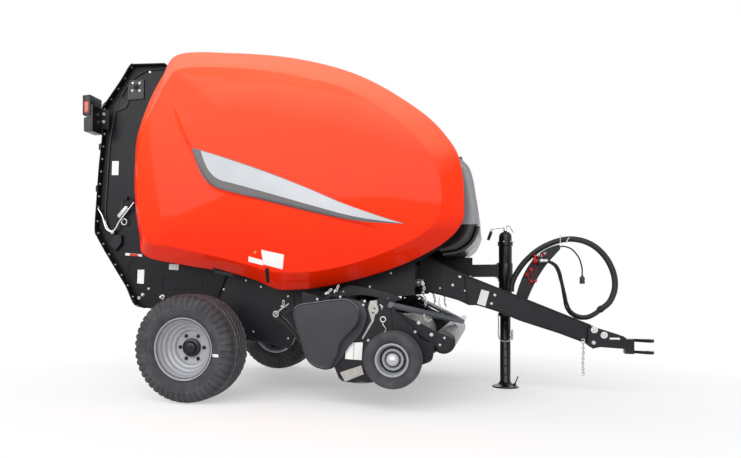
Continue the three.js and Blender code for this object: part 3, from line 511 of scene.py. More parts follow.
def rubber(name, colour, dust, roughness=0.8, tread=None):
    """Rubber: nearly matt, greyed by dust in soft patches, with a fine grain. On a tyre of radius `tread` the dust
    settles in the grooves: share = how far a point lies below the tread, from its distance to the wheel's axis."""
    g = Graph(name, specular_ior_level=0.35)
    shade = g.blend(g.noise(11, 4).over(0.4, 0.45) * 0.6, colour, dust)
    if tread:
        radius = ((g.axis(0) - axle_x) ** 2 + (g.axis(2) - axle_z) ** 2) ** 0.5
        depth = tread - radius
        off_middle = ((((g.axis(1) ** 2) ** 0.5) - tyre_y) ** 2) ** 0.5
        in_groove = depth.over(0.003, 0.004) * (1 - off_middle.over(0.1, 0.02))
        shade = g.blend(in_groove * g.noise(40, 2).over(0.2, 0.5) * 0.8, shade, srgb(146, 150, 156))
    g.bump(g.noise(700, 2), 0.00015, 0.6)
    return g.feed(base_color=shade, roughness=g.noise(30) * 0.12 + roughness - 0.06)


def two_tone(name, upper, lower, height):
    """Moulded plastic in two colours that meet at one height, as where two mouldings share a surface."""
    g = Graph(name, specular_ior_level=0.5)
    g.bump(g.noise(1100, 2), 0.0001, 0.7)
    share = g.axis(2).over(height, 0.004)
    return g.feed(base_color=g.blend(share, lower, upper), roughness=g.noise(20) * 0.1 + 0.34)


# the red's last colour is a painted sky reflection, lighter high up on the panels
red_paint = lacquer(
    "red_paint", srgb(250, 46, 6), srgb(243, 41, 3), coat=0.2, specular=0.06, painted_sky_reflection=srgb(255, 66, 18))
black_coat = powder("black_coat", srgb(22, 20, 26), srgb(50, 47, 50), specular=0.26)
gate_coat = powder("gate_coat", srgb(18, 16, 21), srgb(34, 32, 35), roughness=0.32, dusty=0.1, specular=0.18)
gloss_black = powder("gloss_black", srgb(20, 20, 22), srgb(42, 41, 41), roughness=0.24, dusty=0.12)
charcoal_plastic = moulded("charcoal_plastic", srgb(43, 42, 48), srgb(50, 49, 55))
hood_plastic = moulded("hood_plastic", srgb(132, 134, 138), srgb(150, 152, 156), roughness=0.42)
tube_paint = powder("tube_paint", srgb(92, 97, 103), srgb(120, 122, 122), roughness=0.34, dusty=0.2)
rim_silver = lacquer("rim_silver", srgb(164, 166, 171), srgb(146, 149, 155), coat=0.4, specular=0.5)
zinc_plate = zinc("zinc_plate", srgb(205, 206, 208), srgb(176, 177, 178))
galvanised = zinc("galvanised", srgb(176, 174, 168), srgb(148, 147, 144), roughness=0.5, spangle=130)
roller_steel = zinc("roller_steel", srgb(132, 132, 136), srgb(120, 120, 124), roughness=0.32, spangle=300)
bright_steel = zinc("bright_steel", srgb(226, 227, 229), srgb(205, 206, 208), roughness=0.16, spangle=200)
tyre_rubber = rubber("tyre_rubber", srgb(56, 56, 60), srgb(90, 89, 90))
main_tyre_rubber = rubber("main_tyre_rubber", srgb(56, 56, 60), srgb(92, 91, 92), tread=axle_z)
hose_rubber = rubber("hose_rubber", srgb(24, 24, 26), srgb(40, 40, 41), roughness=0.5)
seal_rubber = rubber("seal_rubber", srgb(16, 16, 17), srgb(28, 28, 28), roughness=0.6)
cap_red = moulded("cap_red", srgb(170, 26, 20), srgb(140, 24, 20), roughness=0.4)
belt_rubber = rubber("belt_rubber", srgb(30, 30, 32), srgb(48, 47, 46), roughness=0.7)
lens_red = lacquer("lens_red", srgb(206, 40, 22), srgb(180, 30, 18), coat=0.6)
tube_dark = powder("tube_dark", srgb(44, 44, 49), srgb(58, 58, 60), roughness=0.3, dusty=0.2)
# A pale grey for the drive cover's rim bead, which is a painted highlight.
edge_grey = moulded("edge_grey", srgb(120, 120, 124), srgb(96, 96, 100), roughness=0.35)
hood_two_tone = two_tone("hood_two_tone", srgb(140, 143, 148), srgb(24, 23, 27), 1.382)
print("finishes", len(bpy.data.materials))

# %% [markdown]
# ## The side panels
# Each side of the machine is covered by one big moulded panel. Seen from the side it has a soft outline; a crease
# follows the outline a hand's breadth inside it, and between the two the surface slopes back to the rim. The main
# face is slightly domed, and a body line runs down from the rear top and then forward along the stripe.
#
# A surface like this is easiest on polar coordinates round a middle point: `outline` and `crease` give the radius
# for each angle, and the height is a function of how far in from the rim a point lies. The panel is a closed
# shell: rings run from the middle of the outside to the rim, round its edge and back to the middle inside.

# %% Outline and crease of the panel
panel_middle = np.array([700.0, 1850.0])
panel_rim = np.array([
    (-253, 2849), (220, 2815), (786, 2714), (1302, 2530), (1758, 2227), (1985, 1975), (2060, 1785), (2079, 1523),
    (2056, 1360), (1906, 1211), (1609, 1062), (1302, 965), (989, 896), (786, 876), (620, 880), (423, 956),
    (194, 1018), (-164, 1075), (-563, 1163), (-618, 1340), (-661, 1640), (-664, 1900), (-640, 2180), (-532, 2463),
    (-400, 2680)])
panel_crease = np.array([
    (-150, 2680), (211, 2655), (555, 2598), (828, 2527), (1177, 2415), (1520, 2200), (1790, 1940), (1890, 1760),
    (1925, 1560), (1890, 1400), (1812, 1308), (1697, 1241), (1462, 1140), (1221, 1066), (973, 1019), (719, 1011),
    (559, 1031), (422, 1071), (211, 1126), (-6, 1176), (-272, 1233), (-455, 1262), (-520, 1380), (-560, 1640),
    (-566, 1900), (-535, 2110), (-470, 2290), (-380, 2440), (-265, 2620)])
panel_low, panel_high = (np.array(corner) * 1000 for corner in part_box("side_panel_left"))
knuckle, hinge_reach = 22.0, 70.0
panel_inner = panel_low[1] + knuckle + hinge_reach
panel_skin = 25.0
panel_crown = panel_high[1] - panel_inner - panel_skin


def radius_at(angles, points):
    """The distance from the panel's middle to a closed smooth line, for each angle."""
    line = smooth_line(points, 900, closed=True) - panel_middle
    bearing = np.arctan2(line[:, 1], line[:, 0])
    order = np.argsort(bearing)
    return np.interp(angles, bearing[order], np.hypot(line[:, 0], line[:, 1])[order], period=2 * np.pi)


# %% The height of the panel
body_line = smooth_line(
    [(-235, 2420), (-197, 2317), (-125, 2160), (-38, 2003), (50, 1835), (152, 1700), (330, 1630), (600, 1565),
     (1000, 1460), (1350, 1368), (1597, 1303)], 160)


def from_line(x, z, line):
    """Signed distance to an open line, positive on its left, and how far along it (0 to 1) the nearest point is."""
    away = np.stack([x, z], -1)[..., None, :] - line[:-1]
    step = np.diff(line, axis=0)
    share = np.clip((away * step).sum(-1) / (step**2).sum(-1), 0, 1)
    rest = away - share[..., None] * step
    distance = np.hypot(rest[..., 0], rest[..., 1])
    nearest = distance.argmin(-1)[..., None]
    cross = step[:, 0] * away[..., 1] - step[:, 1] * away[..., 0]
    distance, cross, share = (
        np.take_along_axis(values, nearest, -1)[..., 0] for values in (distance, cross, share))
    return distance * np.sign(cross), (nearest[..., 0] + share) / len(step)


def soft_step(value):
    """0 below 0, 1 above 1, and 3 t^2 - 2 t^3 between."""
    t = np.clip(value, 0, 1)
    return t * t * (3 - 2 * t)


def panel_height(x, z):
    """How far the outside stands out of the rim's plane, as a share of the crown: a slope from the rim to the
    crease, a dome inside it, and a small step along the body line."""
    offset = np.stack([x, z], -1) - panel_middle
    angle = np.arctan2(offset[..., 1], offset[..., 0])
    reach = np.hypot(offset[..., 0], offset[..., 1])
    rim, crease = radius_at(angle, panel_rim), radius_at(angle, panel_crease)
    inside = np.clip(reach / crease, 0, 1)
    slope = np.clip((rim - reach) / (rim - crease), 0, 1)
    dome = 0.56 + 0.42 * (1 - inside**2.4)
    band = 0.56 * (1 - (1 - slope) ** 1.1)
    away, along = from_line(x, z, body_line)
    step = soft_step(away / 22 + 0.5) * soft_step(along / 0.16) * soft_step((1 - along) / 0.16)
    spread = np.exp(-np.maximum(away, 0) / 420)
    return np.where(reach < crease, dome, band) + 0.1 * step * spread * soft_step((1 - inside) * 9)


def panel_grid(angles, rings):
    """Places (x, z) at a share of the way from the middle to the crease (0 to 1) and on to the rim (1 to 2)."""
    rim, crease = radius_at(angles, panel_rim), radius_at(angles, panel_crease)
    inner = np.minimum(rings, 1)[:, None] * crease
    outer = np.maximum(rings - 1, 0)[:, None] * (rim - crease)
    reach = inner + outer
    return panel_middle[0] + reach * np.cos(angles), panel_middle[1] + reach * np.sin(angles)


# %% The panel as one closed shell
def panel_solid(steps=420):
    """Rings of the outside, the rounded rim and the inside, with a middle point at each end."""
    angles = np.linspace(-np.pi, np.pi, steps, endpoint=False)
    rings = np.concatenate([np.linspace(0.02, 0.97, 84), [0.988, 0.996, 1.004, 1.012], np.linspace(1.04, 1.96, 15)])
    x, z = panel_grid(angles, rings)
    height = panel_height(x, z)
    outside = panel_inner + panel_skin + panel_crown * height
    edge = panel_inner + panel_skin * np.array([0.98, 0.72, 0.3, 0.04])
    rim_x, rim_z = panel_grid(angles, np.array([1.985, 2.0, 2.0, 1.985]))
    back_rings = np.array([1.9, 1.5, 1.0, 0.8, 0.5, 0.2])
    back_x, back_z = panel_grid(angles, back_rings)
    back = panel_inner + panel_crown * panel_height(back_x, back_z)
    grid_x = np.vstack([x, rim_x, back_x])
    grid_z = np.vstack([z, rim_z, back_z])
    grid_y = np.vstack([outside, np.repeat(edge[:, None], steps, 1), back])
    corners = np.stack([grid_x, grid_y, grid_z], -1).reshape(-1, 3)
    rows = len(grid_x)
    crown = panel_height(panel_middle[:1], panel_middle[1:])[0] * panel_crown
    tips = [(panel_middle[0], panel_inner + panel_skin + crown, panel_middle[1]),
            (panel_middle[0], panel_inner + crown, panel_middle[1])]
    step = np.arange(steps)
    follow = (step + 1) % steps
    first = np.stack([np.full(steps, len(corners)), follow, step], 1)
    start = (rows - 1) * steps
    last = np.stack([np.full(steps, len(corners) + 1), start + step, start + follow], 1)
    corners = np.vstack([corners, tips])
    return corners, [grid_faces(rows, steps), first, last]


pair("panel_shell", panel_solid(), red_paint, "panel_{}", smooth=60)
print("panel crown", round(float(panel_crown)), "mm, faces", made["panel_shell_left"])

# %% Stripe, border and labels lie on the panel
def on_panel(outline, lift, depth=1.2, steps=200, rows=28):
    """A thin skin over the panel between two lines (lower and upper), `lift` mm above its surface."""
    lower, upper = (smooth_line(line, steps) for line in outline)
    share = np.linspace(0, 1, rows)[:, None, None]
    flat = lower[None] * (1 - share) + upper[None] * share
    x, z = flat[..., 0], flat[..., 1]
    top = panel_inner + panel_skin + panel_crown * panel_height(x, z) + lift
    outer = np.stack([x, top, z], -1)
    return skin_between(outer, outer - [0, depth, 0])


stripe_silver = lacquer("stripe_silver", srgb(192, 195, 200), srgb(170, 174, 178), coat=0.2)
stripe_grey = moulded("stripe_grey", srgb(88, 86, 88), srgb(98, 96, 98), roughness=0.36)
seal_black = rubber("seal_black", srgb(14, 13, 14), srgb(24, 23, 23), roughness=0.6)
latch_brass = zinc("latch_brass", srgb(206, 150, 70), srgb(170, 120, 52), roughness=0.3)
label_white = moulded("label_white", srgb(232, 232, 230), srgb(216, 216, 213), grain=300, roughness=0.45)

grey_lower = [
    (-27, 1999), (-10, 1925), (45, 1800), (120, 1715), (205, 1672), (420, 1612), (900, 1480), (1300, 1392),
    (1655, 1361)]
grey_upper = [
    (-27, 1999), (20, 1995), (300, 1900), (620, 1780), (950, 1640), (1250, 1505), (1430, 1440), (1560, 1395),
    (1655, 1367)]
silver_lower = [
    (54, 1976), (84, 1895), (135, 1805), (215, 1742), (340, 1704), (640, 1614), (960, 1516), (1300, 1420),
    (1640, 1366)]
silver_upper = [
    (56, 1980), (200, 1930), (440, 1843), (700, 1742), (960, 1632), (1180, 1532), (1400, 1448), (1540, 1398),
    (1640, 1368)]


def patch(corners):
    """A four-sided skin on the panel: its lower and upper lines, from corners (x, z) listed anticlockwise."""
    first, second, third, fourth = (np.array(corner, float) for corner in corners)
    share = np.linspace(0, 1, 9)[:, None]
    return first + (second - first) * share, fourth + (third - fourth) * share


label_corners = (
    ((551, 1076), (708, 1035), (728, 1148), (541, 1189)), ((424, 1098), (550, 1068), (545, 1108), (430, 1140)))
slot_corners = (
    ((541, 935), (570, 928), (600, 1040), (566, 1052)), ((78, 1012), (236, 985), (236, 1012), (68, 1062)))
latch_x, latch_z = 488.0, 1170.0
latch_y = panel_inner + panel_skin + panel_crown * float(panel_height(np.array([latch_x]), np.array([latch_z]))[0])
latch = moved(turned([(0, 5), (9, 5), (11, 3), (11, -2), (0, -2)], 24), (latch_x, latch_y, latch_z))
label = merged(*(on_panel(patch(corners), 1.0, steps=12, rows=8) for corners in label_corners))
# The slots are thin black skins laid on the red panel: painted shade for the dark openings, which are not cut.
slot_shade_sheets = merged(*(on_panel(patch(corners), 1.2, steps=24, rows=12) for corners in slot_corners))
pair("stripe_border", on_panel((grey_lower, grey_upper), 1.6), stripe_grey, "panel_{}")
pair("stripe", on_panel((silver_lower, silver_upper), 2.6), stripe_silver, "panel_{}")
pair("panel_label", label, label_white, "panel_{}", "red_paint")
pair("panel_slots", slot_shade_sheets, seal_black, "panel_{}", "red_paint")
pair("panel_latch", latch, latch_brass, "panel_{}", smooth=40)

# %% [markdown]
# ## Hoses and cable
# The hydraulic hoses leave the drawbar inside one thick protective sleeve that springs up in an arch, comes down
# over the hitch and lets three hoses out of its mouth. They loop back under the arch to the parking rack, where
# each coupler waits with a red cap. A control cable hangs from the carrier with its plug. Each is a tube swept
# along the route that the CAD gives it; the sleeve's winding is a small wave of the tube's radius.

# %% Routes, from the CAD
sleeve_route = [
    (2440, 60, 858.5), (2446, 60, 925), (2480, 60, 1010), (2560, 60, 1125), (2680, 60, 1228), (2830, 60, 1292),
    (2960, 60, 1298), (3085, 60, 1250), (3185, 60, 1150), (3246, 60, 1020), (3258, 60, 890), (3218, 60, 775),
    (3140, 60, 705)]
hose_routes = [
    [(3139.5, 47, 704.5), (3109.7, 47, 677.9), (3048, 47, 647), (2979, 44, 650), (2921, 34, 686),
     (2888, 18, 747), (2872, -4, 815), (2855, -27, 882), (2838, -47, 950), (2822, -61, 1018), (2791, -69, 1079),
     (2732, -70, 1114), (2663, -70, 1118)],
    [(3147, 66.5, 696.1), (3117.2, 66.5, 669.5), (3054, 66, 636), (2982, 64, 635), (2919, 57, 668),
     (2878, 44, 727), (2862, 27, 797), (2849, 10, 868), (2836, -6, 939), (2823, -17, 1010), (2795, -23, 1075),
     (2735, -24, 1114), (2663, -24, 1118)],
    [(3132, 66.5, 712.9), (3102.2, 66.5, 686.3), (3042, 69, 657), (2976, 76, 662), (2921, 86, 701),
     (2894, 95, 763), (2875, 101, 828), (2857, 102, 893), (2839, 98, 958), (2821, 89, 1023), (2789, 80, 1082),
     (2730, 73, 1115), (2663, 70, 1118)]]
cable_route = [
    (2828, 6, 1235), (2860, 8, 1238), (2920, 20, 1215), (2975, 35, 1150), (3000, 45, 1080), (3006, 48, 1040),
    (3006, 48, 1003.5)]


def cord_line(route, step):
    """Evenly spaced points on the smooth line through a route, `step` millimetres apart, and its length."""
    rough = smooth_line(route, 400)
    length = float(np.linalg.norm(np.diff(rough, axis=0), axis=1).sum())
    return smooth_line(route, int(length / step) + 2), length


def lay_cord(name, route, diameter, finish, node, step=12, wave_size=0.0,
             pitch=16):
    """A tube along the route, swept with a winding of that size and pitch; its real length is printed."""
    line, length = cord_line(route, step)
    along = np.linspace(0, length, len(line))
    scale = 1 + wave_size * np.sin(2 * np.pi * along / pitch)
    solid = swept(line, circle(diameter / 2, 14), toward=(0, 1, 0), scale=scale)
    cord_piece = piece(name, solid, finish, "chassis", "hose_rubber", smooth=50, replaces=[node])
    print(name, "is", round(length), "mm long")


# %% Couplers, collar and plug
def along_line(solid, start, direction):
    """A solid drawn along +y from the origin, set at a start and pointed along a direction, in millimetres."""
    return moved(solid, start, pointing(direction, toward=(0.01, 0.02, 1)))


collar = turned([(24.6, -34), (27, -32), (28, -20), (28, -6), (26, 2), (20, 9), (12, 10), (12, 4), (24.4, -2)], 28)
sleeve_end = np.array(sleeve_route[-1], float)
sleeve_heading = sleeve_end - np.array(sleeve_route[-2], float)
sleeve_collar = piece("sleeve_collar", along_line(collar, sleeve_end, sleeve_heading), seal_rubber)
for index, route in enumerate(hose_routes):
    end = np.array(route[-1], float)
    ferrule = turned(
        [(9.4, -62), (12.5, -60), (13, -34), (11.5, -32), (11.5, -28), (16, -26), (16, -8), (13.5, -6),
         (13.5, -0.6), (9.4, -0.6)], 24)
    piece(f"coupler_{index + 1}", along_line(ferrule, end, (-1, 0, 0)), zinc_plate)
    grip = merged(turned([(0, 13), (13, 13), (16, 16), (17, 22), (17, 34), (20, 38), (20, 46), (17, 50), (12, 54),
                          (0, 55)], 24), block((-6, 30, 14), (6, 44, 52)))
    piece(f"coupler_cap_{index + 1}", along_line(grip, end, (-1, 0, 0)), cap_red, "chassis", "hose_rubber",
          bevel=0.001)
plug_profile = [
    (0, 39), (6.5, 38.6), (8, 30), (12, 22), (15, 16), (20, 14), (21, 10), (21, -4), (19, -6), (19, -12), (21, -14),
    (21, -32), (19, -38.6), (12, -38.6), (12, -34), (0, -34)]
plug = moved(turned(plug_profile, 32), middle_of("cable_plug"), turn_about(0, math.pi / 2))
cable_end = piece("trailer_plug", plug, charcoal_plastic, replaces=["cable_plug"])

# %% The cords themselves
lay_cord("sleeve", sleeve_route, 48, hose_rubber, "hose_sleeve", 4, 0.022, 16)
for index, route in enumerate(hose_routes):
    lay_cord(f"hydraulic_hose_{index + 1}", route, 18, hose_rubber, f"hose_{index + 1}")
lay_cord("cable", cable_route, 12, hose_rubber, "control_cable", 8)

# %% [markdown]
# The shell and its hinge arms together stand for the CAD's panel, so the arms are made again at their places.

# %% Hinge arms of the panels
hinge_rear, hinge_front = np.array([-250.0, 2800.0]), np.array([950.0, 2625.0])
hinge_slope = math.atan2(hinge_rear[1] - hinge_front[1], hinge_front[0] - hinge_rear[0])
hinge_length = float(np.hypot(*(hinge_front - hinge_rear)))
hinge_y = panel_inner - hinge_reach


def along_hinge(solid):
    """A solid drawn along x from the hinge line's rear end, tipped down to the line's slope: p' = R p + rear end."""
    return moved(solid, (hinge_rear[0], 0, hinge_rear[1]), turn_about(1, hinge_slope))


def hinge_arm(start):
    """One forged arm: a knuckle round the pin and a flat web that ends against the inside of the shell."""
    knuckle = moved(turned([(11.5, 0), (22, 0), (22, 35), (11.5, 35)], 28), turn=turn_about(2, -math.pi / 2))
    knuckle = moved(knuckle, (start, hinge_y, 0))
    web = block((start, hinge_y + 17, -22), (start + 35, panel_inner + 34, -8))
    return along_hinge(merged(knuckle, web))


pair("panel_arms", merged(*(hinge_arm(share * hinge_length + 13) for share in (0.12, 0.86))), black_coat,
     "panel_{}", bevel=0.002, replaces=["side_panel_{}"])

# %% [markdown]
# ## Wheels
# A tyre is a lathe shape whose tread is cut by a height field. Working out the radius on a grid of angle and
# distance across lets one formula cut the zigzag grooves and the slots of the shoulders. The rim is a deep dish:
# the wheel bolts to its hub far inside the tyre.


# %% A tyre with its tread
def tyre_solid(radius, half, lip, seat, section, tread, steps, rows=96):
    """Each corner is the section's smooth line, pushed in along its normal by tread(angle, y share, radius share)."""
    section = np.asarray(section, float)
    section = np.vstack([section * [1, -1], section[-2::-1]])
    line = smooth_line(section, rows)
    ahead = np.gradient(line, axis=0)
    normal = np.stack([ahead[:, 1], -ahead[:, 0]], 1) / np.linalg.norm(ahead, axis=1, keepdims=True)
    angles = np.linspace(0, 2 * np.pi, steps, endpoint=False)
    around, across = np.meshgrid(angles, line[:, 1] / half, indexing="ij")
    depth = tread(around, across, line[:, 0][None] / radius)
    reach = line[:, 0][None] - depth * normal[:, 0][None]
    y = line[:, 1][None] - depth * normal[:, 1][None]
    outer = np.stack([reach * np.cos(around), y, reach * np.sin(around)], -1)
    bead = -section[0, 1]
    inner_line = np.array([(lip + 3, bead), (seat + 0.6, bead - 0.5), (seat + 0.6, -bead + 0.5), (lip + 3, -bead)])
    inner = np.stack([
        inner_line[:, 0] * np.cos(angles)[:, None], np.broadcast_to(inner_line[:, 1], (steps, 4)),
        inner_line[:, 0] * np.sin(angles)[:, None]], -1)
    grid = np.concatenate([outer, inner], 1)
    return grid.reshape(-1, 3), [grid_faces(steps, grid.shape[1], wrap_rows=True)]


def groove(distance, half_width, edge):
    """1 inside a groove and 0 outside, with sloping walls of width `edge`."""
    return np.clip((half_width + edge - np.abs(distance)) / edge, 0, 1)


def implement_tread(around, across, share):
    """Four wavy grooves round the tyre, 48 slots between the lugs of each shoulder, and rings on the side walls."""
    turns = around / (2 * np.pi)
    winding = 0.026 * np.sin(2 * np.pi * turns * 48)
    rings = sum(groove(across - place - winding, 0.022, 0.018) for place in (-0.44, -0.15, 0.15, 0.44))
    phase = turns * 48 + 0.25 * np.sign(across)
    slot = groove((phase - np.round(phase)) * 0.5, 0.075, 0.04)
    slot = slot * np.clip((share - 0.79) / 0.02, 0, 1) * np.clip((np.abs(across) - 0.6) / 0.04, 0, 1)
    lug_edge = -3.5 * np.clip((share - 0.775) / 0.015, 0, 1) * np.clip((0.972 - share) / 0.02, 0, 1)
    wall = groove(share - 0.69, 0.005, 0.004) - groove(share - 0.715, 0.003, 0.003) + groove(
        share - 0.63, 0.004, 0.004)
    on_top = np.clip((share - 0.975) / 0.01, 0, 1)
    return 9 * np.clip(rings, 0, 1) * on_top + 9 * slot + lug_edge + 2.2 * wall * (np.abs(across) > 0.7)


def ribbed_tread(around, across, share):
    """Three plain grooves round the small tyre and two rings on each wall."""
    rings = sum(groove(across - place, 0.035, 0.02) for place in (-0.42, 0.0, 0.42))
    on_top = np.clip((share - 0.96) / 0.02, 0, 1)
    fine = groove(share - 0.86, 0.006, 0.005) + groove(share - 0.76, 0.008, 0.005)
    return 5 * np.clip(rings, 0, 1) * on_top + 1.2 * fine * (np.abs(across) > 0.85)


# %% Bolts, nuts and rings used all over the machine
def hex_bolt(across, height=None, washer=True):
    """A hexagon head with a chamfered top on a washer, standing along +y from y = 0. `across` is over the flats."""
    height = across * 0.42 if height is None else height
    corner = across / math.sqrt(3)
    base = across * 0.12 if washer else 0
    parts = [turned([(0, base + height), (corner * 0.84, base + height), (corner, base + height * 0.82),
                     (corner, base * 0.9), (0, base * 0.9)], 6)]
    if washer:
        parts.append(turned([(0, base), (across * 0.66, base), (across * 0.7, base * 0.5),
                             (across * 0.7, -base * 0.3), (0, -base * 0.3)], 16))
    return merged(*parts)


def studs(points, y, across, washer=True):
    """Bolt heads standing on the plane y at places (x, z)."""
    points = np.asarray(points, float).reshape(-1, 2)
    places = on_plane(points, y)
    return copies(hex_bolt(across, washer=washer), places)


def wheel_pieces(tyre_node, body, rows):
    """Pieces drawn about a wheel's own middle, set on the left wheel and, mirrored, on the right. Each row says: name,
    solid, finish, slot, smooth angle and, where there is one, the replaced node."""
    for side, turn in both_sides:
        middle = middle_of(f"{tyre_node}_{side}")
        for name, solid, finish, slot, smooth, *nodes in rows:
            piece(f"{name}_{side}", moved(turn(solid), middle), finish, f"{body}_{side}", slot, smooth=smooth,
                  replaces=[f"{node}_{side}" for node in nodes])


# %% The main wheels
lip, seat = 241.0, 223.0
half_rim = 165.0
face = half_rim - 172
rim_profile = np.vstack(
    [[(60, face), (124, face), (130, face + 1), (134, face + 7), (136, face + 18), (141, face + 24),
      (153, face + 26)],
     [(161, face + 31), (166, face + 44), (171, face + 50), (184, face + 53), (190, face + 60), (193, face + 76)],
     [(198, face + 84), (208, face + 88), (213, face + 96), (213, 112), (216, 118), (221, 122), (222, 144),
      (226, 150)],
     [(234, 153), (237, 161), (241, 162), (243, 157), (241, 152), (232, 150), (225, 147), (223, 140), (223, -140)],
     [(232, -150), (241, -152), (243, -157), (241, -162), (226, -158), (219, -148), (216, -136), (216, face + 80)],
     [(204, face + 74), (188, face + 44), (172, face + 40), (156, face + 16), (140, face + 14), (126, face - 10)],
     [(60, face - 10)]])
dish = turned(rim_profile, 96)
nut_places = ring_points((0, 0), 102, 0, 360, 7)[:-1]
# The nuts are glossy black as painted shade: the black stands for the shadow in the recesses they sit in.
nuts = copies(hex_bolt(22, 12), on_plane(nut_places, face))
hub_profile = [
    (0, face + 56), (30, face + 55), (44, face + 50), (50, face + 40), (52, face + 30), (72, face + 24),
    (74, face + 2), (74, face - 128), (60, face - 130), (36, face - 130), (36, face + 25), (0, face + 25)]
hub = turned(hub_profile, 48)
valve = moved(
    turned([(0, 34), (3, 34), (4, 30), (4, 2), (8, 0), (0, 0)], 12), (-176, face + 48, 58), turn_about(2, 0.5))
tyre_section = [
    (244, 152), (249, 158), (262, 173), (285, 186), (315, 192.5), (345, 191), (368, 186), (386, 178), (400, 166),
    (410, 149), (416, 125), (420, 90), (421.5, 45), (422, 0)]
tyre = tyre_solid(422.0, 195.0, lip, seat, tyre_section, implement_tread, 576, 128)
wall_line = np.array(tyre_section)[:6]
label_reach = np.linspace(248, 312, 13)
label_y = np.interp(label_reach, wall_line[:, 0], wall_line[:, 1]) + 5.5
label_rows = np.stack(
    [np.stack([label_reach, label_y + rise, np.full(13, z)], 1)
     for z, rise in ((-50, 0), (-28, 0), (-28, -3), (-50, -3))], 1)
tyre_label = (label_rows.reshape(-1, 3), [
    grid_faces(13, 4), np.array([[0, 1, 2, 3]]), np.array([[48, 49, 50, 51]])])
wheel_pieces("tyre", "wheel", [
    ("tyre_tread", tyre, main_tyre_rubber, "tyre_rubber", 38, "tyre"),
    ("wheel_dish", dish, rim_silver, "rim_silver", 40, "rim"), ("wheel_hub", hub, gloss_black, "black_paint", 40),
    ("wheel_nuts", nuts, gloss_black, "band_steel", 30), ("wheel_valve", valve, gloss_black, "tyre_rubber", 30),
    ("wheel_label", tyre_label, label_white, "tyre_rubber", 30)])
print("main tyre faces", made["tyre_tread_left"])

# %% The pickup's gauge wheels
gauge_profile = [
    (17.5, 30), (40, 30), (44, 27), (45, 8), (47, 2), (56, 1), (60, 4), (61, 12), (64, 15), (74, 14), (77, 10),
    (79, -4), (93, -6), (97, 2), (99, 30), (102, 50), (106, 60), (113, 65), (118, 64), (119, 60), (117, 57),
    (109, 55), (108, 50), (108, -50), (109, -55), (117, -57), (119, -60), (118, -64), (113, -65), (106, -60),
    (102, -50), (102, -20), (96, -24), (84, -22), (44, -22), (42, -54), (17.5, -55)]
# Two black rings laid in the dish's hollows are painted shade: the dish is silver, and they stand for the shadow in
# its recesses.
gauge_rings = merged(
    turned([(79.5, -4), (93, -5), (93, -3.4), (79.5, -2.4)], 60),
    turned([(47.5, 2.6), (56, 1.6), (56, 3), (47.5, 4)], 60))
gauge_dish = turned(gauge_profile, 72)
gauge_cap = turned([(0, 46), (15, 45), (19, 42), (20, 34), (30, 33), (31, 29), (0, 29)], 36)
gauge_section = [
    (121, 57), (126, 61), (138, 72), (155, 80), (174, 82.3), (188, 79), (197, 70), (202, 56), (204.5, 36), (205, 0)]
gauge_tyre = tyre_solid(205.0, 82.5, 118.0, 108.0, gauge_section, ribbed_tread, 144, 72)
wheel_pieces("gauge_tyre", "gauge_wheel", [
    ("gauge_tread", gauge_tyre, tyre_rubber, "tyre_rubber", 38, "gauge_tyre"),
    ("gauge_dish", gauge_dish, rim_silver, "rim_silver", 40, "gauge_rim"),
    ("gauge_rings", gauge_rings, gloss_black, "rim_silver", 40),
    ("gauge_cap", gauge_cap, zinc_plate, "rim_silver", 40)])

# %% [markdown]
# ## The tailgate
# The rear half of the bale chamber is two flat plates joined by rollers. Their rear edge is folded into a flange
# that is bolted all the way round, with a rib pressed into the plate inside it. The plates themselves are right as
# the CAD has them, so here come only the things bolted on: heads, ribs, latch rod, gas spring, labels, reflector.
# A bead along a line is a half-round section swept along it, and is quicker to shape than cutting the plate.


# %% Helpers for things that lie on a side plate
def bead(points, y, width, height, count=90, closed=False):
    """A rounded bead along a smooth line in x and z, standing `height` out of the plane y: a half ellipse swept."""
    line = smooth_line(points, count, closed)
    path = on_plane(line, y)
    angles = np.linspace(0, np.pi, 9)
    section = np.stack([width / 2 * np.cos(angles), height * np.sin(angles)], 1)
    section = np.vstack([section, [(-width / 2, -1.5), (width / 2, -1.5)]])
    return swept(path, section[:, ::-1], toward=(0, 1, 0), closed=closed)


def tag(corners, y, thickness=1.0):
    """A thin flat label or strip with the given corners (x, z), standing on the plane y."""
    return plate(corners, y - 0.5, y + thickness)


def rod(points, radius, count=40, sides=12):
    """A bent round rod through places (x, y, z)."""
    return bent(points, count, radius, sides, (0.03, 1, 0.02))


# %% Bolts along the flange and on the plate
tail_plate = 637.0
tail_flange = 700.0
flange_line = np.array(
    [(-745, 2860), (-794, 2858), (-886, 2734), (-1021, 2568), (-1076, 2500), (-1077, 2250), (-1109, 1984),
     (-1134, 1686), (-1152, 1419), (-1126, 1345), (-1042, 1210), (-941, 1059), (-841, 912), (-758, 751)])
steps = np.linalg.norm(np.diff(flange_line, axis=0), axis=1)
travel = np.concatenate([[0], np.cumsum(steps)])
bolt_travel = np.arange(60, travel[-1] - 30, 112.0)
flange_bolts = np.stack([np.interp(bolt_travel, travel, flange_line[:, k]) for k in (0, 1)], 1)
ahead = np.stack([np.interp(bolt_travel + 5, travel, flange_line[:, k]) for k in (0, 1)], 1) - flange_bolts
inward = np.stack([-ahead[:, 1], ahead[:, 0]], 1) / np.linalg.norm(ahead, axis=1, keepdims=True)
bolt_feet = flange_bolts + inward * 3
pair("flange_bolts", copies(hex_bolt(17, 7), on_plane(bolt_feet, tail_flange - 32), np.stack(
    [pointing((d[0], 0, d[1]), toward=(0, 1, 0)) for d in inward])), zinc_plate, "tailgate")
print("flange bolts on each side", len(bolt_feet))

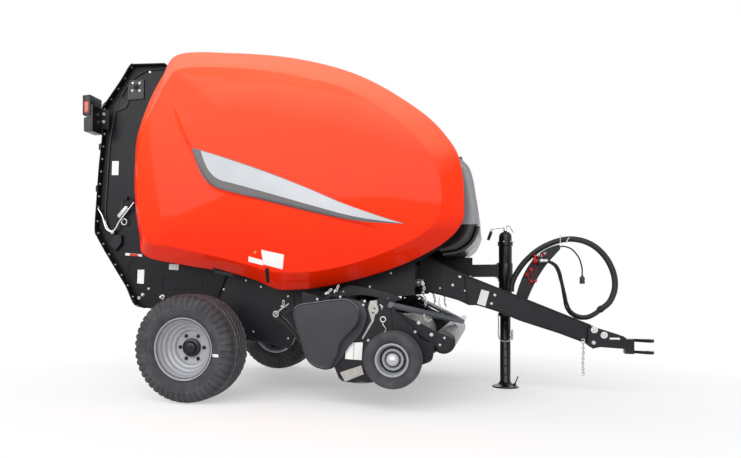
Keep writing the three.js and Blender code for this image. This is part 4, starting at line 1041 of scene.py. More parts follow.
# %% The flange's folded lip, the pressed rib and the stiffeners
pair("flange_lip", bead(np.vstack([flange_line, [(-663, 716)]]), tail_flange - 1, 9, 4, count=260), black_coat,
     "tailgate")
rib_line = [(-430, 2812), (-604, 2818), (-686, 2808), (-802, 2749), (-885, 2654), (-961, 2519), (-1003, 2373),
            (-1034, 2196), (-1063, 1838), (-1080, 1540), (-1056, 1419)]
pair("plate_rib", bead(rib_line, tail_plate + 3, 20, 9, 140), gloss_black, "tailgate")


def strip_between(first, second, low, high, count=120):
    """A flat plate between two smooth lines in x and z, from y = low to y = high: rows run across, columns along."""
    first, second = smooth_line(first, count), smooth_line(second, count)
    outline = np.vstack([first, second[::-1]])
    flat = on_plane(outline, 0)
    across = np.stack(
        [np.arange(count - 1), np.arange(1, count), 2 * count - 2 - np.arange(count - 1),
         2 * count - 1 - np.arange(count - 1)], 1)
    total = len(outline)
    ring = np.arange(total)
    walls = np.stack([ring, (ring + 1) % total, (ring + 1) % total + total, ring + total], 1)
    return np.vstack([flat + [0, low, 0], flat + [0, high, 0]]), [across[:, ::-1], across + total, walls]


outer_edge = [
    (-460, 2838), (-740, 2854), (-795, 2846), (-882, 2728), (-1010, 2566), (-1064, 2490), (-1068, 2300),
    (-1100, 1984), (-1126, 1686), (-1142, 1419)]
inner_edge = [
    (-430, 2812), (-604, 2818), (-686, 2808), (-802, 2749), (-885, 2654), (-961, 2519), (-1003, 2373),
    (-1034, 2196), (-1063, 1838), (-1082, 1440)]
pair("edge_frame", strip_between(outer_edge, inner_edge, tail_plate - 1, tail_plate + 4), seal_black, "tailgate")
low_rib = [(-745, 1180), (-800, 1150), (-845, 1090), (-866, 1000), (-850, 880), (-800, 790)]
pair("lower_rib", bead(low_rib, tail_plate, 14, 5, 60), gloss_black, "tailgate")
seam = [(-1096, 1222), (-1020, 1216), (-860, 1211), (-640, 1206)]
pair("plate_seam", bead(seam, tail_plate, 10, 5, 30), black_coat, "tailgate")
pressing = [(-510, 990), (-140, 990), (-135, 985), (-135, 888), (-140, 882), (-505, 882), (-510, 888), (-511, 985)]
pair("pressed_frame", bead(pressing, tail_plate, 12, 4, 120, closed=True), black_coat, "tailgate")
pair("flange_tabs",
     merged(*(plate([(x - 6, z - 32), (x - 30, z - 26), (x - 30, z + 26), (x - 6, z + 32)], 640, 690)
              for x, z in ((-1090, 2157), (-1122, 1784)))), black_coat, "tailgate", bevel=0.003)
pair("corner_gusset", plate([(-985, 1372), (-905, 1364), (-905, 1286), (-968, 1222), (-1040, 1284)], 637, 668),
     black_coat, "tailgate", bevel=0.008)
corner = plate([(-905, 2600), (-835, 2560), (-870, 2500), (-960, 2470), (-1010, 2530)], 637, 645)
pair("lamp_gusset", corner, black_coat, "tailgate", bevel=0.002)

# %% The tensioner's bolts, pins and plates
cluster = [(-797, 2714), (-730, 2708), (-802, 2646), (-730, 2640)]
pair("bearing_bolts", studs(cluster, 648, 17), zinc_plate, "tailgate")
pair("bearing_plate", plate([(-848, 2748), (-690, 2742), (-690, 2566), (-860, 2566)], 637, 648), gloss_black,
     "tailgate", bevel=0.004)
pair("bearing_cap",
     moved(turned([(0, 22), (10, 21), (16, 16), (18, 8), (24, 7), (25, 3), (25, -2), (0, -2)], 36),
           (-765, 648, 2678)), gloss_black, "tailgate", smooth=40)
pair("pivot_bolts", studs([(-707, 831), (-743, 801)], tail_plate, 24), zinc_plate, "tailgate")
pair("small_bolts",
     studs([(-648, 884), (-633, 2801), (-470, 760), (-500, 2600), (-980, 1290), (-300, 760), (-120, 760)],
           tail_plate, 17), zinc_plate, "tailgate")
pair("lock_pin",
     merged(moved(turned([(0, 44), (10, 42), (12, 38), (12, -2), (0, -2)], 20), (-511, tail_plate, 812)), moved(
         turned([(0, 8), (20, 8), (22, 6), (22, -2), (0, -2)], 24), (-511, tail_plate, 812))), zinc_plate,
     "tailgate", smooth=40)

# %% Latch rod, gas spring and coil spring
rod_y = 676
latch_rod = rod(
    [(-1140, rod_y, 1612), (-1092, rod_y, 1538), (-1064, rod_y, 1452), (-1040, rod_y, 1412), (-990, rod_y, 1394),
     (-950, rod_y, 1430), (-915, rod_y, 1486), (-823, rod_y, 1590), (-770, rod_y, 1650)], 7, 90)
second_rod = rod(
    [(-1128, rod_y - 16, 1580), (-1080, rod_y - 16, 1500), (-1046, rod_y - 16, 1430), (-1000, rod_y - 14, 1392)], 6)
eye = merged(
    *(moved(turned([(7, -9), (16, -9), (18, -6), (18, 6), (16, 9), (7, 9)], 24), (x, rod_y - 6, z))
      for x, z in ((-990, 1392), (-1142, 1616))))
pair("latch_rod", latch_rod, bright_steel, "tailgate", "roller_steel", smooth=60)
pair("latch_link", second_rod, bright_steel, "tailgate", "roller_steel", smooth=60)
pair("latch_eyes", eye, zinc_plate, "tailgate", smooth=40)
pair("latch_bosses",
     merged(*(moved(turned([(0, 44), (8, 44), (8, 20), (16, 18), (16, -2), (0, -2)], 20), (x, tail_plate, z)) for x,
              z in ((-1120, 1600), (-990, 1392), (-792, 1628)))), black_coat, "tailgate", smooth=40)
barrel_line = np.array([(-930, 664, 1528), (-835, 664, 1622)], float)
pair("gas_spring",
     merged(moved(turned([(0, 134), (9, 134), (9, 120), (20, 118), (22, 112), (22, 4), (20, 0), (0, 0)], 28),
                  barrel_line[0], pointing(barrel_line[1] - barrel_line[0], toward=(0, 1, 0))),
            moved(turned([(0, 22), (9, 22), (9, -2), (0, -2)], 20), barrel_line[0] - [0, 30, 0])), bright_steel,
     "tailgate", "roller_steel", smooth=40)
turns = np.linspace(0, 7.5 * 2 * np.pi, 230)
pair("latch_spring",
     swept(np.stack([15 * np.cos(turns), np.linspace(0, 120, 230), 15 * np.sin(turns)],
                    1) @ pointing((0.70, 0, 0.72), toward=(0, 1, 0)).T + np.array([-842, 668, 1618]),
           circle(3.2, 8), toward=(0.3, 0.2, 0.9)), gloss_black, "tailgate", smooth=60)
pair("spring_ring", hoop((-876, 1480), 26, 664, 6, 48), zinc_plate, "tailgate", smooth=60)
pair("spring_guide",
     merged(*(plate([(x - 16, z - 16), (x + 16, z - 16), (x + 16, z + 16), (x - 16, z + 16)], 637, 662)
              for x, z in ((-905, 1560), (-866, 1692))),
            plate([(-945, 1480), (-912, 1470), (-894, 1690), (-924, 1696)], 637, 645)), black_coat, "tailgate",
     bevel=0.003)

# %% Labels and reflector
labels = (
    [(-1015, 2033), (-947, 2030), (-953, 1905), (-1020, 1908)],
    [(-757, 1053), (-691, 1053), (-697, 928), (-763, 932)],
    [(-446, 1103), (-353, 1095), (-359, 1046), (-451, 1053)])
for index, corners in enumerate(labels):
    pair(f"plate_label_{index + 1}", tag(corners, tail_plate), label_white, "tailgate")
pair("reflector_base", tag([(-880, 1204), (-712, 1190), (-713, 1168), (-881, 1182)], tail_plate, 4), label_white,
     "tailgate", "lamp_plastic", bevel=0.001)
pair("reflector", tag([(-836, 1199), (-756, 1192), (-757, 1171), (-837, 1178)], tail_plate, 6), lens_red,
     "tailgate", bevel=0.002)

# %% [markdown]
# ### Tail lamps
# Each lamp stands out sideways on a plate: a moulded housing with a red and amber lens above, a smaller grey
# number-plate lamp below it. A lens is a shallow box with a fine ribbed pattern moulded inside it, which shows as
# a bump, and a rounded rim.

# %% Tail lamps
def cushion(low, high, crown, steps=24):
    """A lens: a box whose face towards -x swells by crown * (1 - u^4)(1 - v^4), with u and v across the face."""
    low, high = np.asarray(low, float), np.asarray(high, float)
    share = np.linspace(-1, 1, steps)
    u, v = np.meshgrid(share, share, indexing="ij")
    swell = crown * (1 - u**4) * (1 - v**4)
    y = (low[1] + high[1]) / 2 + u * (high[1] - low[1]) / 2
    z = (low[2] + high[2]) / 2 + v * (high[2] - low[2]) / 2
    return skin_between(
        np.stack([low[0] + crown - swell, y, z], -1), np.stack([np.full_like(y, high[0]), y, z], -1))


def lens_finish(name, colour, deep):
    """A coloured lens under clear plastic: fine moulded ribs up and down as a bump, and a bright smooth coat."""
    g = Graph(name, coat_weight=0.7, coat_roughness=0.03)
    rib = g.node("ShaderNodeMath", {"operation": "SINE"}, {0: g.axis(1) * 900})
    lines = g.node("ShaderNodeMath", {"operation": "SINE"}, {0: g.axis(2) * 900})
    g.bump(rib * lines, 0.0006, 0.6)
    return g.feed(base_color=g.blend(g.axis(2).over(2.42, 0.12), deep, colour), roughness=rib * 0.05 + 0.2)


lens_orange = lens_finish("lens_orange", srgb(206, 52, 18), srgb(150, 30, 16))
lens_grey = lens_finish("lens_grey", srgb(70, 69, 72), srgb(52, 51, 55))
pair("lamp_housing",
     merged(block((-1180, 662, 2406), (-1166, 838, 2584)), block((-1176, 668, 2266), (-1104, 828, 2392)),
            block((-1103, 655, 2262), (-1080.4, 838, 2500)), block((-1166.2, 660, 2408), (-1104, 839, 2584))),
     gloss_black, "tailgate", "lamp_plastic", bevel=0.006)
upper_lens = cushion((-1193.6, 662, 2409), (-1179, 836, 2581), 10)
lower_lens = cushion((-1190, 672, 2270), (-1175, 824, 2388), 10)
side_lens = block((-1166.5, 655, 2420), (-1118, 844, 2528))
pair("lamp_lens_upper", upper_lens, lens_orange, "tailgate", smooth=50, bevel=0.003)
pair("lamp_lens_side", side_lens, lens_orange, "tailgate", bevel=0.012)
pair("lamp_lens_lower", lower_lens, lens_grey, "tailgate", smooth=50, bevel=0.003)
pair("lamp_divider", block((-1167, 662, 2478), (-1105, 836.5, 2486)), gloss_black, "tailgate", "lamp_plastic",
     replaces=["tail_lamp_{}"])
pair("lamp_bracket",
     plate([(-1100, 2300), (-1076, 2316), (-1010, 2300), (-1000, 2470), (-1070, 2492), (-1100, 2490)], 700.5, 706),
     black_coat, "tailgate", bevel=0.001)
pair("lamp_bolts", studs([(-1059, 2373), (-1055, 2440)], 706, 22), zinc_plate, "tailgate")

# %% [markdown]
# ### Rollers and belts
# Belts are single bands with gaps between them, running over steel rollers. The CAD joins them into one sheet for
# speed; here each band is its own loop, with a fine grain on its surface.

# %% Loop round the rollers
def loop_line(rollers, offset, per_arc=14):
    """The outline round a ring of circles (x, z, r): an arc of radius r + offset at each, joined by straights."""
    points = []
    for index in range(len(rollers)):
        before, here, after = (np.array(rollers[k % len(rollers)], float) for k in (index - 1, index, index + 1))
        ends = []
        for first, second in ((before, here), (here, after)):
            step = second[:2] - first[:2]
            ends.append(math.atan2(step[1], step[0]) - math.pi / 2 + math.asin((second[2] - first[2]) / np.hypot(
                *step)))
        start, stop = ends
        stop += 2 * math.pi * math.ceil((start - stop) / (2 * math.pi))
        angles = np.linspace(start, stop, per_arc)
        reach = here[2] + offset
        points.append(np.stack([here[0] + reach * np.cos(angles), here[1] + reach * np.sin(angles)], 1))
    return np.vstack(points)


def even_line(points, spacing):
    """Points at an even spacing along a polyline, corners kept close."""
    length = np.concatenate([[0], np.cumsum(np.linalg.norm(np.diff(points, axis=0), axis=1))])
    wanted = np.linspace(0, length[-1], int(length[-1] / spacing) + 2)
    return np.stack([np.interp(wanted, length, points[:, k]) for k in range(points.shape[1])], 1)


def band(line, low, high, thickness, closed):
    """A flat band from y = low to y = high along a line in x and z, `thickness` to its right."""
    count = len(line)
    ahead = np.roll(line, -1, 0) - np.roll(line, 1, 0) if closed else np.gradient(line, axis=0)
    normal = np.stack([ahead[:, 1], -ahead[:, 0]], 1) / np.linalg.norm(ahead, axis=1, keepdims=True)
    outer = line + normal * thickness
    at = lambda flat, y: on_plane(flat, y)
    corners = np.stack([at(line, low), at(line, high), at(outer, high), at(outer, low)], 1).reshape(-1, 3)
    faces = [grid_faces(count, 4, wrap_rows=closed)]
    if not closed:
        faces += [np.array([[3, 2, 1, 0]]), (count - 1) * 4 + np.array([[0, 1, 2, 3]])]
    return corners, faces


belt_edges = np.linspace(-590, 590, 6)
tail_rollers = [(-110, 770, 90), (560, 2630, 60), (-840, 2620, 60), (-1000, 1370, 60)]
piece("tail_belts",
      merged(*(band(loop_line(tail_rollers, 0.35), a + 8, b - 8, 7.8, True)
               for a, b in zip(belt_edges[:-1], belt_edges[1:]))), belt_rubber, "tailgate",
      replaces=["tailgate_belts"])
piece("front_belt_strips",
      merged(*(band(even_line(smooth_line(np.array([(1285.3, 925), (1285.3, 1045), (1420, 1400), (1455, 1700),
                                                    (1370, 2050), (1200, 2320), (1010, 2500.3), (920, 2500.3)]),
                                          300), 30)[::-1], a + 8, b - 8, 7.8, False)
               for a, b in zip(belt_edges[:-1], belt_edges[1:]))), belt_rubber, replaces=["front_belts"])
roller_list = {
    "tailgate_roller_lower": (-110, 770, 90, 624.7), "tailgate_roller_front": (560, 2630, 60, 624.7),
    "tailgate_roller_upper": (-840, 2620, 60, 624.7), "tailgate_roller_rear": (-1000, 1370, 60, 624.7),
    "starter_roller": (1180, 985, 105, 604.7), "upper_roller": (960, 2440, 60, 604.7),
    "floor_roller": (430, 690, 110, 604.7)}
for name, (x, z, radius, half) in roller_list.items():
    profile = [
        (0, half), (20, half), (22, half - 4), (22, half - 12), (radius - 6, half - 14), (radius - 1, half - 18)]
    profile += [(radius, half - 24)]
    profile += [(r, -y) for r, y in profile[::-1]]
    body = "tailgate" if name.startswith("tailgate") else "chassis"
    piece(f"{name}_turned", moved(turned(profile, 64), (x, 0, z)), roller_steel, body, smooth=40, replaces=[name])

# %% [markdown]
# ## Chamber sides, hood and covers
# Below the panels the front half of the chamber shows as flat black plates with bolts and pressed lines. The drives
# sit behind one moulded cover on each side with a rolled rim; a pale bead on the rim's top left is a painted
# highlight. In front, under the tip of the panels, a grey hood wraps the gearbox; its lower edge is closed by a black
# rubber strip.

# %% Chamber plate details
side_plate = 615.0
front_bolts = [
    (264, 955), (330, 520), (640, 470), (180, 560), (60, 880), (400, 900), (640, 820), (1330, 900), (1500, 1010),
    (1650, 1120), (1880, 1300), (1960, 1500)]
pair("chamber_bolts", studs(front_bolts, side_plate, 14), zinc_plate)
fold = [(120, 560), (300, 470), (600, 410), (680, 480), (700, 640), (690, 840)]
pair("chamber_bead", bead(fold, side_plate, 16, 7, 70), black_coat)
seal_line = [(86, 1000), (60, 934), (20, 836), (-20, 740), (-60, 660)]
pair("chamber_seal", bead(seal_line, side_plate - 4, 16, 11, 40), seal_black)
pair("side_duct", strip_between(
    [(1008, 843), (1061, 858), (1120, 890), (1186, 915), (1321, 894), (1443, 869), (1524, 839), (1594, 804)],
    [(1008, 815), (1061, 818), (1120, 822), (1197, 828), (1279, 833), (1362, 823), (1443, 804), (1504, 769)],
    side_plate - 1, 700), tube_dark, bevel=0.012)
duct_bolts = [(1130, 860), (1490, 806)]
pair("duct_bolts", studs(duct_bolts, 700, 11), zinc_plate)

# %% [markdown]
# ### Drive covers
# The cover is a shallow tub. Its outline is a closed smooth line; the side wall leans in a little, and the rim is
# rolled outwards. Scaling the outline towards its middle, ring by ring, and setting a height for each ring gives
# the whole surface from one table of numbers.

# %% The cover's surface
cover_points = np.array(
    [(845, 707), (849, 736), (872, 755), (916, 770), (1035, 787), (1161, 803), (1229, 807), (1267, 800),
     (1305, 775), (1333, 740), (1345, 698), (1335, 647), (1305, 600), (1257, 552), (1219, 510), (1192, 457),
     (1179, 401), (1156, 353), (1123, 310), (1074, 292), (1025, 297), (976, 324), (941, 366), (916, 432),
     (887, 526), (857, 612)])[::-1]
skirt_push = np.array(
    [(0, 0), (0, 0), (0, 0), (0, 2), (0, 3), (0, 3), (16, 4), (28, 6), (36, 10), (42, 8), (46, 4), (50, 0),
     (62, -8), (78, -14), (76, -16), (60, -8), (42, -4), (32, -4), (24, -10), (12, -12), (4, -8), (0, 0), (0, 0),
     (0, 0), (0, 0), (0, 0)])[::-1]
cover_middle = np.array([1100.0, 610.0])
cover_line = smooth_line(cover_points, 240, closed=True)
skirt_line = smooth_line(cover_points + skirt_push, 240, closed=True)
rim_table = np.array(
    [(1.0, 1104), (0.992, 1109), (1.003, 1112), (1.006, 1116), (1.0, 1120), (0.985, 1122.5), (0.968, 1121),
     (0.955, 1117), (0.93, 1117.5), (0.7, 1121), (0.35, 1124), (0.02, 1125)])


def ringed(line, middle, table, skirts=()):
    """First the skirts, lines at given heights; then rings of the line scaled by s about its middle at height y."""
    count = len(line)
    rings = [on_plane(flat, y) for flat, y in skirts]
    for scale, y in table:
        flat = middle + (line - middle) * scale
        rings.append(on_plane(flat, y))
    total = len(rings)
    corners = np.vstack(rings + [[[middle[0], table[-1, 1], middle[1]], [middle[0], rings[0][0, 1], middle[1]]]])
    step = np.arange(count)
    follow = (step + 1) % count
    last = (total - 1) * count
    tip = np.stack([np.full(count, total * count), last + step, last + follow], 1)
    back = np.stack([np.full(count, total * count + 1), follow, step], 1)
    return corners, [grid_faces(total, count), tip, back]


pair("drive_shell", ringed(cover_line, cover_middle, rim_table, [
    (skirt_line, 1077), (skirt_line, 1080), (cover_line * 0.3 + skirt_line * 0.7, 1083),
    (cover_line * 0.75 + skirt_line * 0.25, 1091)]), charcoal_plastic, smooth=50, replaces=["drive_cover_{}"])
# A pale grey bead along the top-left of the cover's rim: a painted highlight where the rolled rim catches the light.
pair("cover_edge", bead(cover_middle + (
    np.array([(852, 640), (846, 700), (850, 738), (874, 757), (916, 771), (1035, 788), (1161, 804), (1229, 808),
              (1267, 801), (1305, 776), (1333, 741), (1344, 700)]) - cover_middle) * 0.996, 1118, 5, 3.5, 120),
     edge_grey, smooth=60)
pair("cover_boss", moved(turned([(0, 1080), (58, 1080), (58, 1041), (0, 1041)][::-1], 40), (1120, 0, 590)),
     gloss_black, "chassis", "cover_plastic", smooth=40)
strap_places = ((1016, 806), (1193, 824), (1376, 793), (1366, 764))
bolt_straps = merged(
    *(plate([(x - 14, z - 40), (x + 14, z - 40), (x + 14, z + 14), (x - 14, z + 14)], 1070, 1077)
      for x, z in strap_places))
pair("cover_bolts", studs(strap_places, 1077, 14), zinc_plate)
pair("cover_straps", bolt_straps, black_coat, bevel=0.002)

# %% Frame, lever, ring bolt and clips behind the cover
link_y = 1000.0
pair("lift_strut",
     rod([(669, link_y - 60, 692), (740, link_y - 58, 628), (818, link_y - 56, 545), (850, link_y - 52, 500)], 16,
         30, 16), gloss_black, smooth=50)
pair("lever", rod([(664, link_y, 688), (700, link_y, 722), (740, link_y, 748), (768, link_y, 770)], 7, 30),
     galvanised, "chassis", "crank_steel", smooth=50)
pair("eye_ring", hoop((664, 688), 20, link_y + 4, 7, 36), galvanised, "chassis", "crank_steel", smooth=50)
pair("side_arm", strip_between(
    [(640, 720), (760, 640), (900, 500), (960, 400)], [(610, 660), (720, 590), (850, 450), (900, 370)], 938, 950),
     gloss_black, bevel=0.002)
pair("side_arm_pins",
     merged(*(moved(turned([(0, 12), (10, 11), (12, 8), (12, -330), (0, -330)], 18), (x, 944, z))
              for x, z in ((650, 690), (905, 420)))), zinc_plate, smooth=40)


def spring_clip(size=1.0):
    """An R-clip: one straight leg and one leg bent in a bow round the pin, as a rod along y up and x across."""
    loop = np.array([(-26, 0, -2), (-12, 0, -2), (0, 0, -9), (14, 0, -2), (30, 0, -1), (40, 0, 6), (34, 0, 14),
                     (20, 0, 10), (2, 0, 6), (-26, 0, 5)], float) * size
    return bent(loop, 60, 2.6 * size)


pin_places = np.array([(1093, 1090, 850), (1157, 1088, 868), (717, 1004, 748)], float)
pair("cover_pins", copies(turned([(0, 16), (7, 15), (9, 12), (9, -30), (0, -30)], 18), pin_places), zinc_plate,
     smooth=40)
pair("cover_clips",
     merged(*(moved(spring_clip(), place + [10, 8, 6], turn_about(1, -0.5 - 0.4 * k))
              for k, place in enumerate(pin_places))), bright_steel, smooth=60)
pair("pin_posts",
     merged(*(plate([(x - 16, z - 46), (x + 16, z - 46), (x + 16, z + 14), (x - 16, z + 14)], y - 34, y - 22)
              for x, y, z in pin_places)), black_coat, bevel=0.003)

# %% Hood
hood_y = 615.0
hood_nose = smooth_line(
    [(1905, 1165), (2010, 1180), (2086, 1221), (2133, 1276), (2172, 1387), (2177, 1483), (2159, 1603), (2140, 1723),
     (2109, 1828), (2047, 1903)], 90)
hood_back = smooth_line([(1870.3, 1190), (1990.3, 1330), (2035.3, 1530), (2025.3, 1690), (1985.3, 1880)], 90)


def hood_shell():
    """The nose line carried across the machine; towards each end it draws back by 45 mm in a quarter round."""
    turn = np.linspace(0, np.pi / 2, 9)
    y, depth = hood_y - 45 * (1 - np.cos(turn)), 45 * (1 - np.sin(turn))
    stations = np.concatenate([-y, y[::-1]])
    pull = np.concatenate([depth, depth[::-1]])
    toward = hood_back - hood_nose
    toward /= np.linalg.norm(toward, axis=1, keepdims=True)
    flat = hood_nose[None] + toward[None] * pull[:, None, None]
    outer = np.stack([flat[..., 0], np.broadcast_to(stations[:, None], flat.shape[:2]), flat[..., 1]], -1)
    rows, columns = outer.shape[:2]
    corners = outer.reshape(-1, 3)
    faces = [grid_faces(rows, columns, wrap_columns=False)]
    for end, row in ((-hood_y, 0), (hood_y, rows - 1)):
        back = on_plane(hood_back, end)
        start = len(corners)
        corners = np.vstack([corners, back])
        index = np.arange(columns - 1)
        faces.append(
            np.stack([row * columns + index, row * columns + index + 1, start + index + 1, start + index], 1))
    return corners, faces


hood_piece = piece("hood_shell", hood_shell(), hood_two_tone, smooth=40, replaces=["front_hood"])
wall = hood_piece.modifiers.new("wall", "SOLIDIFY")
wall.thickness = 0.006
wall.offset = -1
sheet_line = smooth_line([(1976, 1862), (1855, 2008), (1708, 2166), (1550, 2285), (1282, 2449), (1010, 2575)], 60)
piece("front_sheet", strip_between(sheet_line + [1.4, 2.1], sheet_line - [2.8, 4.2], -604.7, 604.7, 60), black_coat,
      smooth=40, replaces=["front_cover"])
piece("hood_strip", band(hood_nose[:36] + [0.5, -0.5], -hood_y + 4, hood_y - 4, 22, False), gloss_black, "chassis",
      "grey_plastic", bevel=0.003)
seal_points = [(2036, -566, 1916), (2047, -566, 1880), (2058, -566, 1838), (2069, -566, 1790), (2082, -566, 1700)]
pair("panel_seal", mirrored(
    swept(smooth_line(seal_points, 60), np.array([(-14, -9), (14, -9), (14, 5), (0, 9), (-14, 5)], float),
          toward=(0, 1, 0))), gloss_black, smooth=50)

# %% [markdown]
# ## The pickup
# Curved strips of galvanised steel stand side by side across the front of the pickup, and spring tines sweep
# through the gaps between them. Each strip is one band bent round the reel; each tine is a pair of fingers of
# spring wire, joined by two coils that clamp on a bar. Hundreds of them are cheap as copies of one small solid.

# %% Bands and tines
bands = 26
band_pitch = 2 * 1045 / bands
piece("stripper_bands",
      merged(
          copies(band(even_line(np.vstack([[(1352, 628)], ring_points((1560, 470), 167.4, 100, -100, 40),
                                           [(1370, 292)]]), 14), -band_pitch * 0.30, band_pitch * 0.30, 5.5, False),
                 np.stack([np.zeros(bands), -1045 + band_pitch * (np.arange(bands) + 0.5), np.zeros(bands)], 1)),
          merged(plate([(1346, 618), (1358, 618), (1358, 634), (1346, 634)], -1045, 1045),
                 plate([(1366, 287), (1384, 287), (1384, 299), (1366, 299)], -1045, 1045))), galvanised, "pickup",
      smooth=40, replaces=["pickup_bands"])

tine_bars = 4
reel_x, reel_z = 1560.0, 470.0
bar_angles = np.arange(tine_bars) / tine_bars * 2 * np.pi
bar_places = np.stack(
    [reel_x + 100 * np.cos(bar_angles), np.zeros(tine_bars), reel_z + 100 * np.sin(bar_angles)], 1)
reel_bars = copies(turned([(0, 1020), (15, 1020), (15, -1020), (0, -1020)], 20), bar_places)
reel_core = moved(
    turned([(0, 1064.6), (25, 1064.6), (25, 1022), (42, 1020), (42, -1020), (25, -1022), (25, -1064.6),
            (0, -1064.6)], 40), (reel_x, 0, reel_z))
spider = turned([(0, 5), (117, 5), (118, 4), (118, -4), (117, -5), (0, -5)], 48)
spiders = copies(spider, [(reel_x, y, reel_z) for y in np.linspace(-1014, 1014, 5)])
turns = np.linspace(0, 2 * 2 * np.pi, 33)
coil = np.stack([18 * np.cos(turns), 10 + turns / (2 * np.pi) * 5.5, 18 * np.sin(turns)], 1)
finger = np.array([(18, 8, -20), (17, 8, -34), (13, 8, -48)], float)
wire = np.vstack([coil[::-1], [(18.5, 9, -8)], finger])
one_tine = merged(
    swept(wire, circle(2.6, 6), toward=(0.3, 0.2, 0.9)),
    swept(wire * [1, -1, 1], circle(2.6, 6), toward=(0.3, 0.2, 0.9)))
gaps = -1045 + band_pitch * np.arange(1, bands)
tine_places, tine_turns = [], []
for index, angle in enumerate(bar_angles):
    for y in gaps[index % 2:]:
        tine_places.append(bar_places[index] + [0, y, 0])
        tine_turns.append(turn_about(1, -angle))
tines = copies(one_tine, tine_places, tine_turns)
piece("tine_reel", merged(reel_core, reel_bars, spiders), gloss_black, "reel", smooth=40, replaces=["pickup_reel"])
piece("tines", tines, bright_steel, "reel", "roller_steel", smooth=60)
print("strips", bands, "tine pairs", len(tine_places), "faces", made["tines"])

# %% Side plates of the pickup
pickup_plate = 1060.0


def pierced(outline, holes, sides=32):
    """An outline with round holes (x, z, r): a hair-thin slit joins each hole to its nearest corner."""
    outline = [tuple(point) for point in outline]
    for x, z, radius in holes:
        near = min(range(len(outline)), key=lambda k: math.hypot(outline[k][0] - x, outline[k][1] - z))
        corner = np.array(outline[near])
        start = math.atan2(corner[1] - z, corner[0] - x)
        around = ring_points((x, z), radius, math.degrees(start), math.degrees(start) - 359.9, sides)
        back = corner + 0.03 * np.array([-math.sin(start), math.cos(start)])
        outline = outline[:near + 1] + [tuple(point) for point in around] + [tuple(back)] + outline[near + 1:]
    return outline


side_outline = [
    (1060, 497), (1178, 216), (1235, 191), (1446, 199), (1788, 335), (1866, 378), (1880, 487), (1779, 521),
    (1742, 585), (1696, 630), (1600, 722), (1600, 775), (1585, 800), (1560, 815), (1482, 815), (1150, 696)]
side_outline += [tuple(point) for point in ring_points((1120, 590), 110, 76, 234, 22)]
pair("pickup_plate",
     merged(plate(pierced(side_outline, [(1120, 590, 60.5), (1560, 470, 26), (1560, 770, 22)]), 1050, 1060), moved(
         turned([(0, 1110), (34, 1110), (34, 1058), (0, 1058)], 32), (1602, 0, 384)),
            moved(turned([(0, 1239), (16, 1238), (17, 1236), (17, 1108), (0, 1108)], 32), (1602, 0, 384))),
     black_coat, "pickup", bevel=0.0015, replaces=["pickup_side_{}"])
plate_heads = [(1400, 505), (1743, 573)]
pair("pickup_bolts", studs(plate_heads, pickup_plate, 15), zinc_plate, "pickup")
pair("adjust_bracket",
     plate([(1413, 795), (1465, 800), (1479, 712), (1451, 693), (1441, 646), (1361, 513), (1352, 520), (1425, 650),
            (1399, 739)][::-1], pickup_plate - 1, pickup_plate + 4), galvanised, "pickup", bevel=0.001)
# Black discs where the bracket's holes are: painted shade for the dark holes, which are not cut.
pair("bracket_hole_shade",
     copies(turned([(0, 5), (7, 5), (7, 3), (0, 3)], 16),
            [(x, pickup_plate, z) for x, z in ((1448, 739), (1436, 707))]), seal_black, "pickup")
pair("lift_plate",
     plate([(1478, 800), (1508, 802), (1567, 749), (1580, 582), (1570, 500), (1440, 500), (1452, 640), (1482, 712)],
           1061, 1068), black_coat, "pickup", bevel=0.002)
# Black discs where the lift plate's holes are: painted shade for the dark holes, which are not cut.
pair("lift_hole_shade", copies(turned([(0, 0.8), (6, 0.8), (6, -0.6), (0, -0.6)], 14), [
    (1470 + 44 * (k % 2) + 3 * k, 1068, 772 - 30 * k) for k in range(9)]), seal_black, "pickup")
lynch = merged(hoop((1513, 661), 19, 1082, 5.5, 40), bent(
    [(1516, 1080, 642), (1512, 1082, 624), (1524, 1082, 608), (1534, 1080, 590), (1530, 1080, 574),
     (1520, 1080, 572)], 40,
    3.6), moved(turned([(0, 20), (8, 19), (9, 16), (9, -2), (0, -2)], 20), (1505, 1064, 752)), bent(
        [(1488, 1078, 768), (1498, 1084, 764), (1506, 1084, 748), (1504, 1080, 732)], 24, 5))
pair("lynch_pin", lynch, zinc_plate, "pickup", smooth=50)
# A black disc in the middle of the lynch pin's ring: painted shade for its dark centre.
pair("lynch_core_shade", moved(turned([(0, 16), (9, 15), (10, 12), (10, -2), (0, -2)], 20), (1513, 1064, 661)),
     seal_black, "pickup", smooth=40)
pair("skid_plate", plate([(1188, 263), (1352, 321), (1371, 256), (1227, 194)][::-1], 1061, 1074), galvanised,
     "pickup", bevel=0.003)
pair("skid_bolts", studs([(1314, 277), (1251, 262)], 1074, 13), zinc_plate, "pickup")
for index, corners in enumerate(([(1236, 487), (1293, 486), (1287, 360), (1226, 363)],
                                 [(1297, 486), (1359, 489), (1351, 358), (1290, 360)])):
    pair(f"pickup_label_{index + 1}", tag(corners, pickup_plate + 1), label_white, "pickup")
pair("pickup_plate_rim",
     bead([(1178, 219), (1235, 194), (1446, 202), (1792, 338), (1862, 380), (1876, 485)], pickup_plate - 2, 7, 5,
          120), black_coat, "pickup")

# %% [markdown]
# ### Wind guard and crop roller
# A bent tube runs from one side to the other in a wide V and holds the crop down; two arms carry a steel roller
# behind it. The tube is a smooth line with a round section. Chains limit how far the guard drops: a chain is one
# oval link copied along a line, each link turned a quarter against the one before.

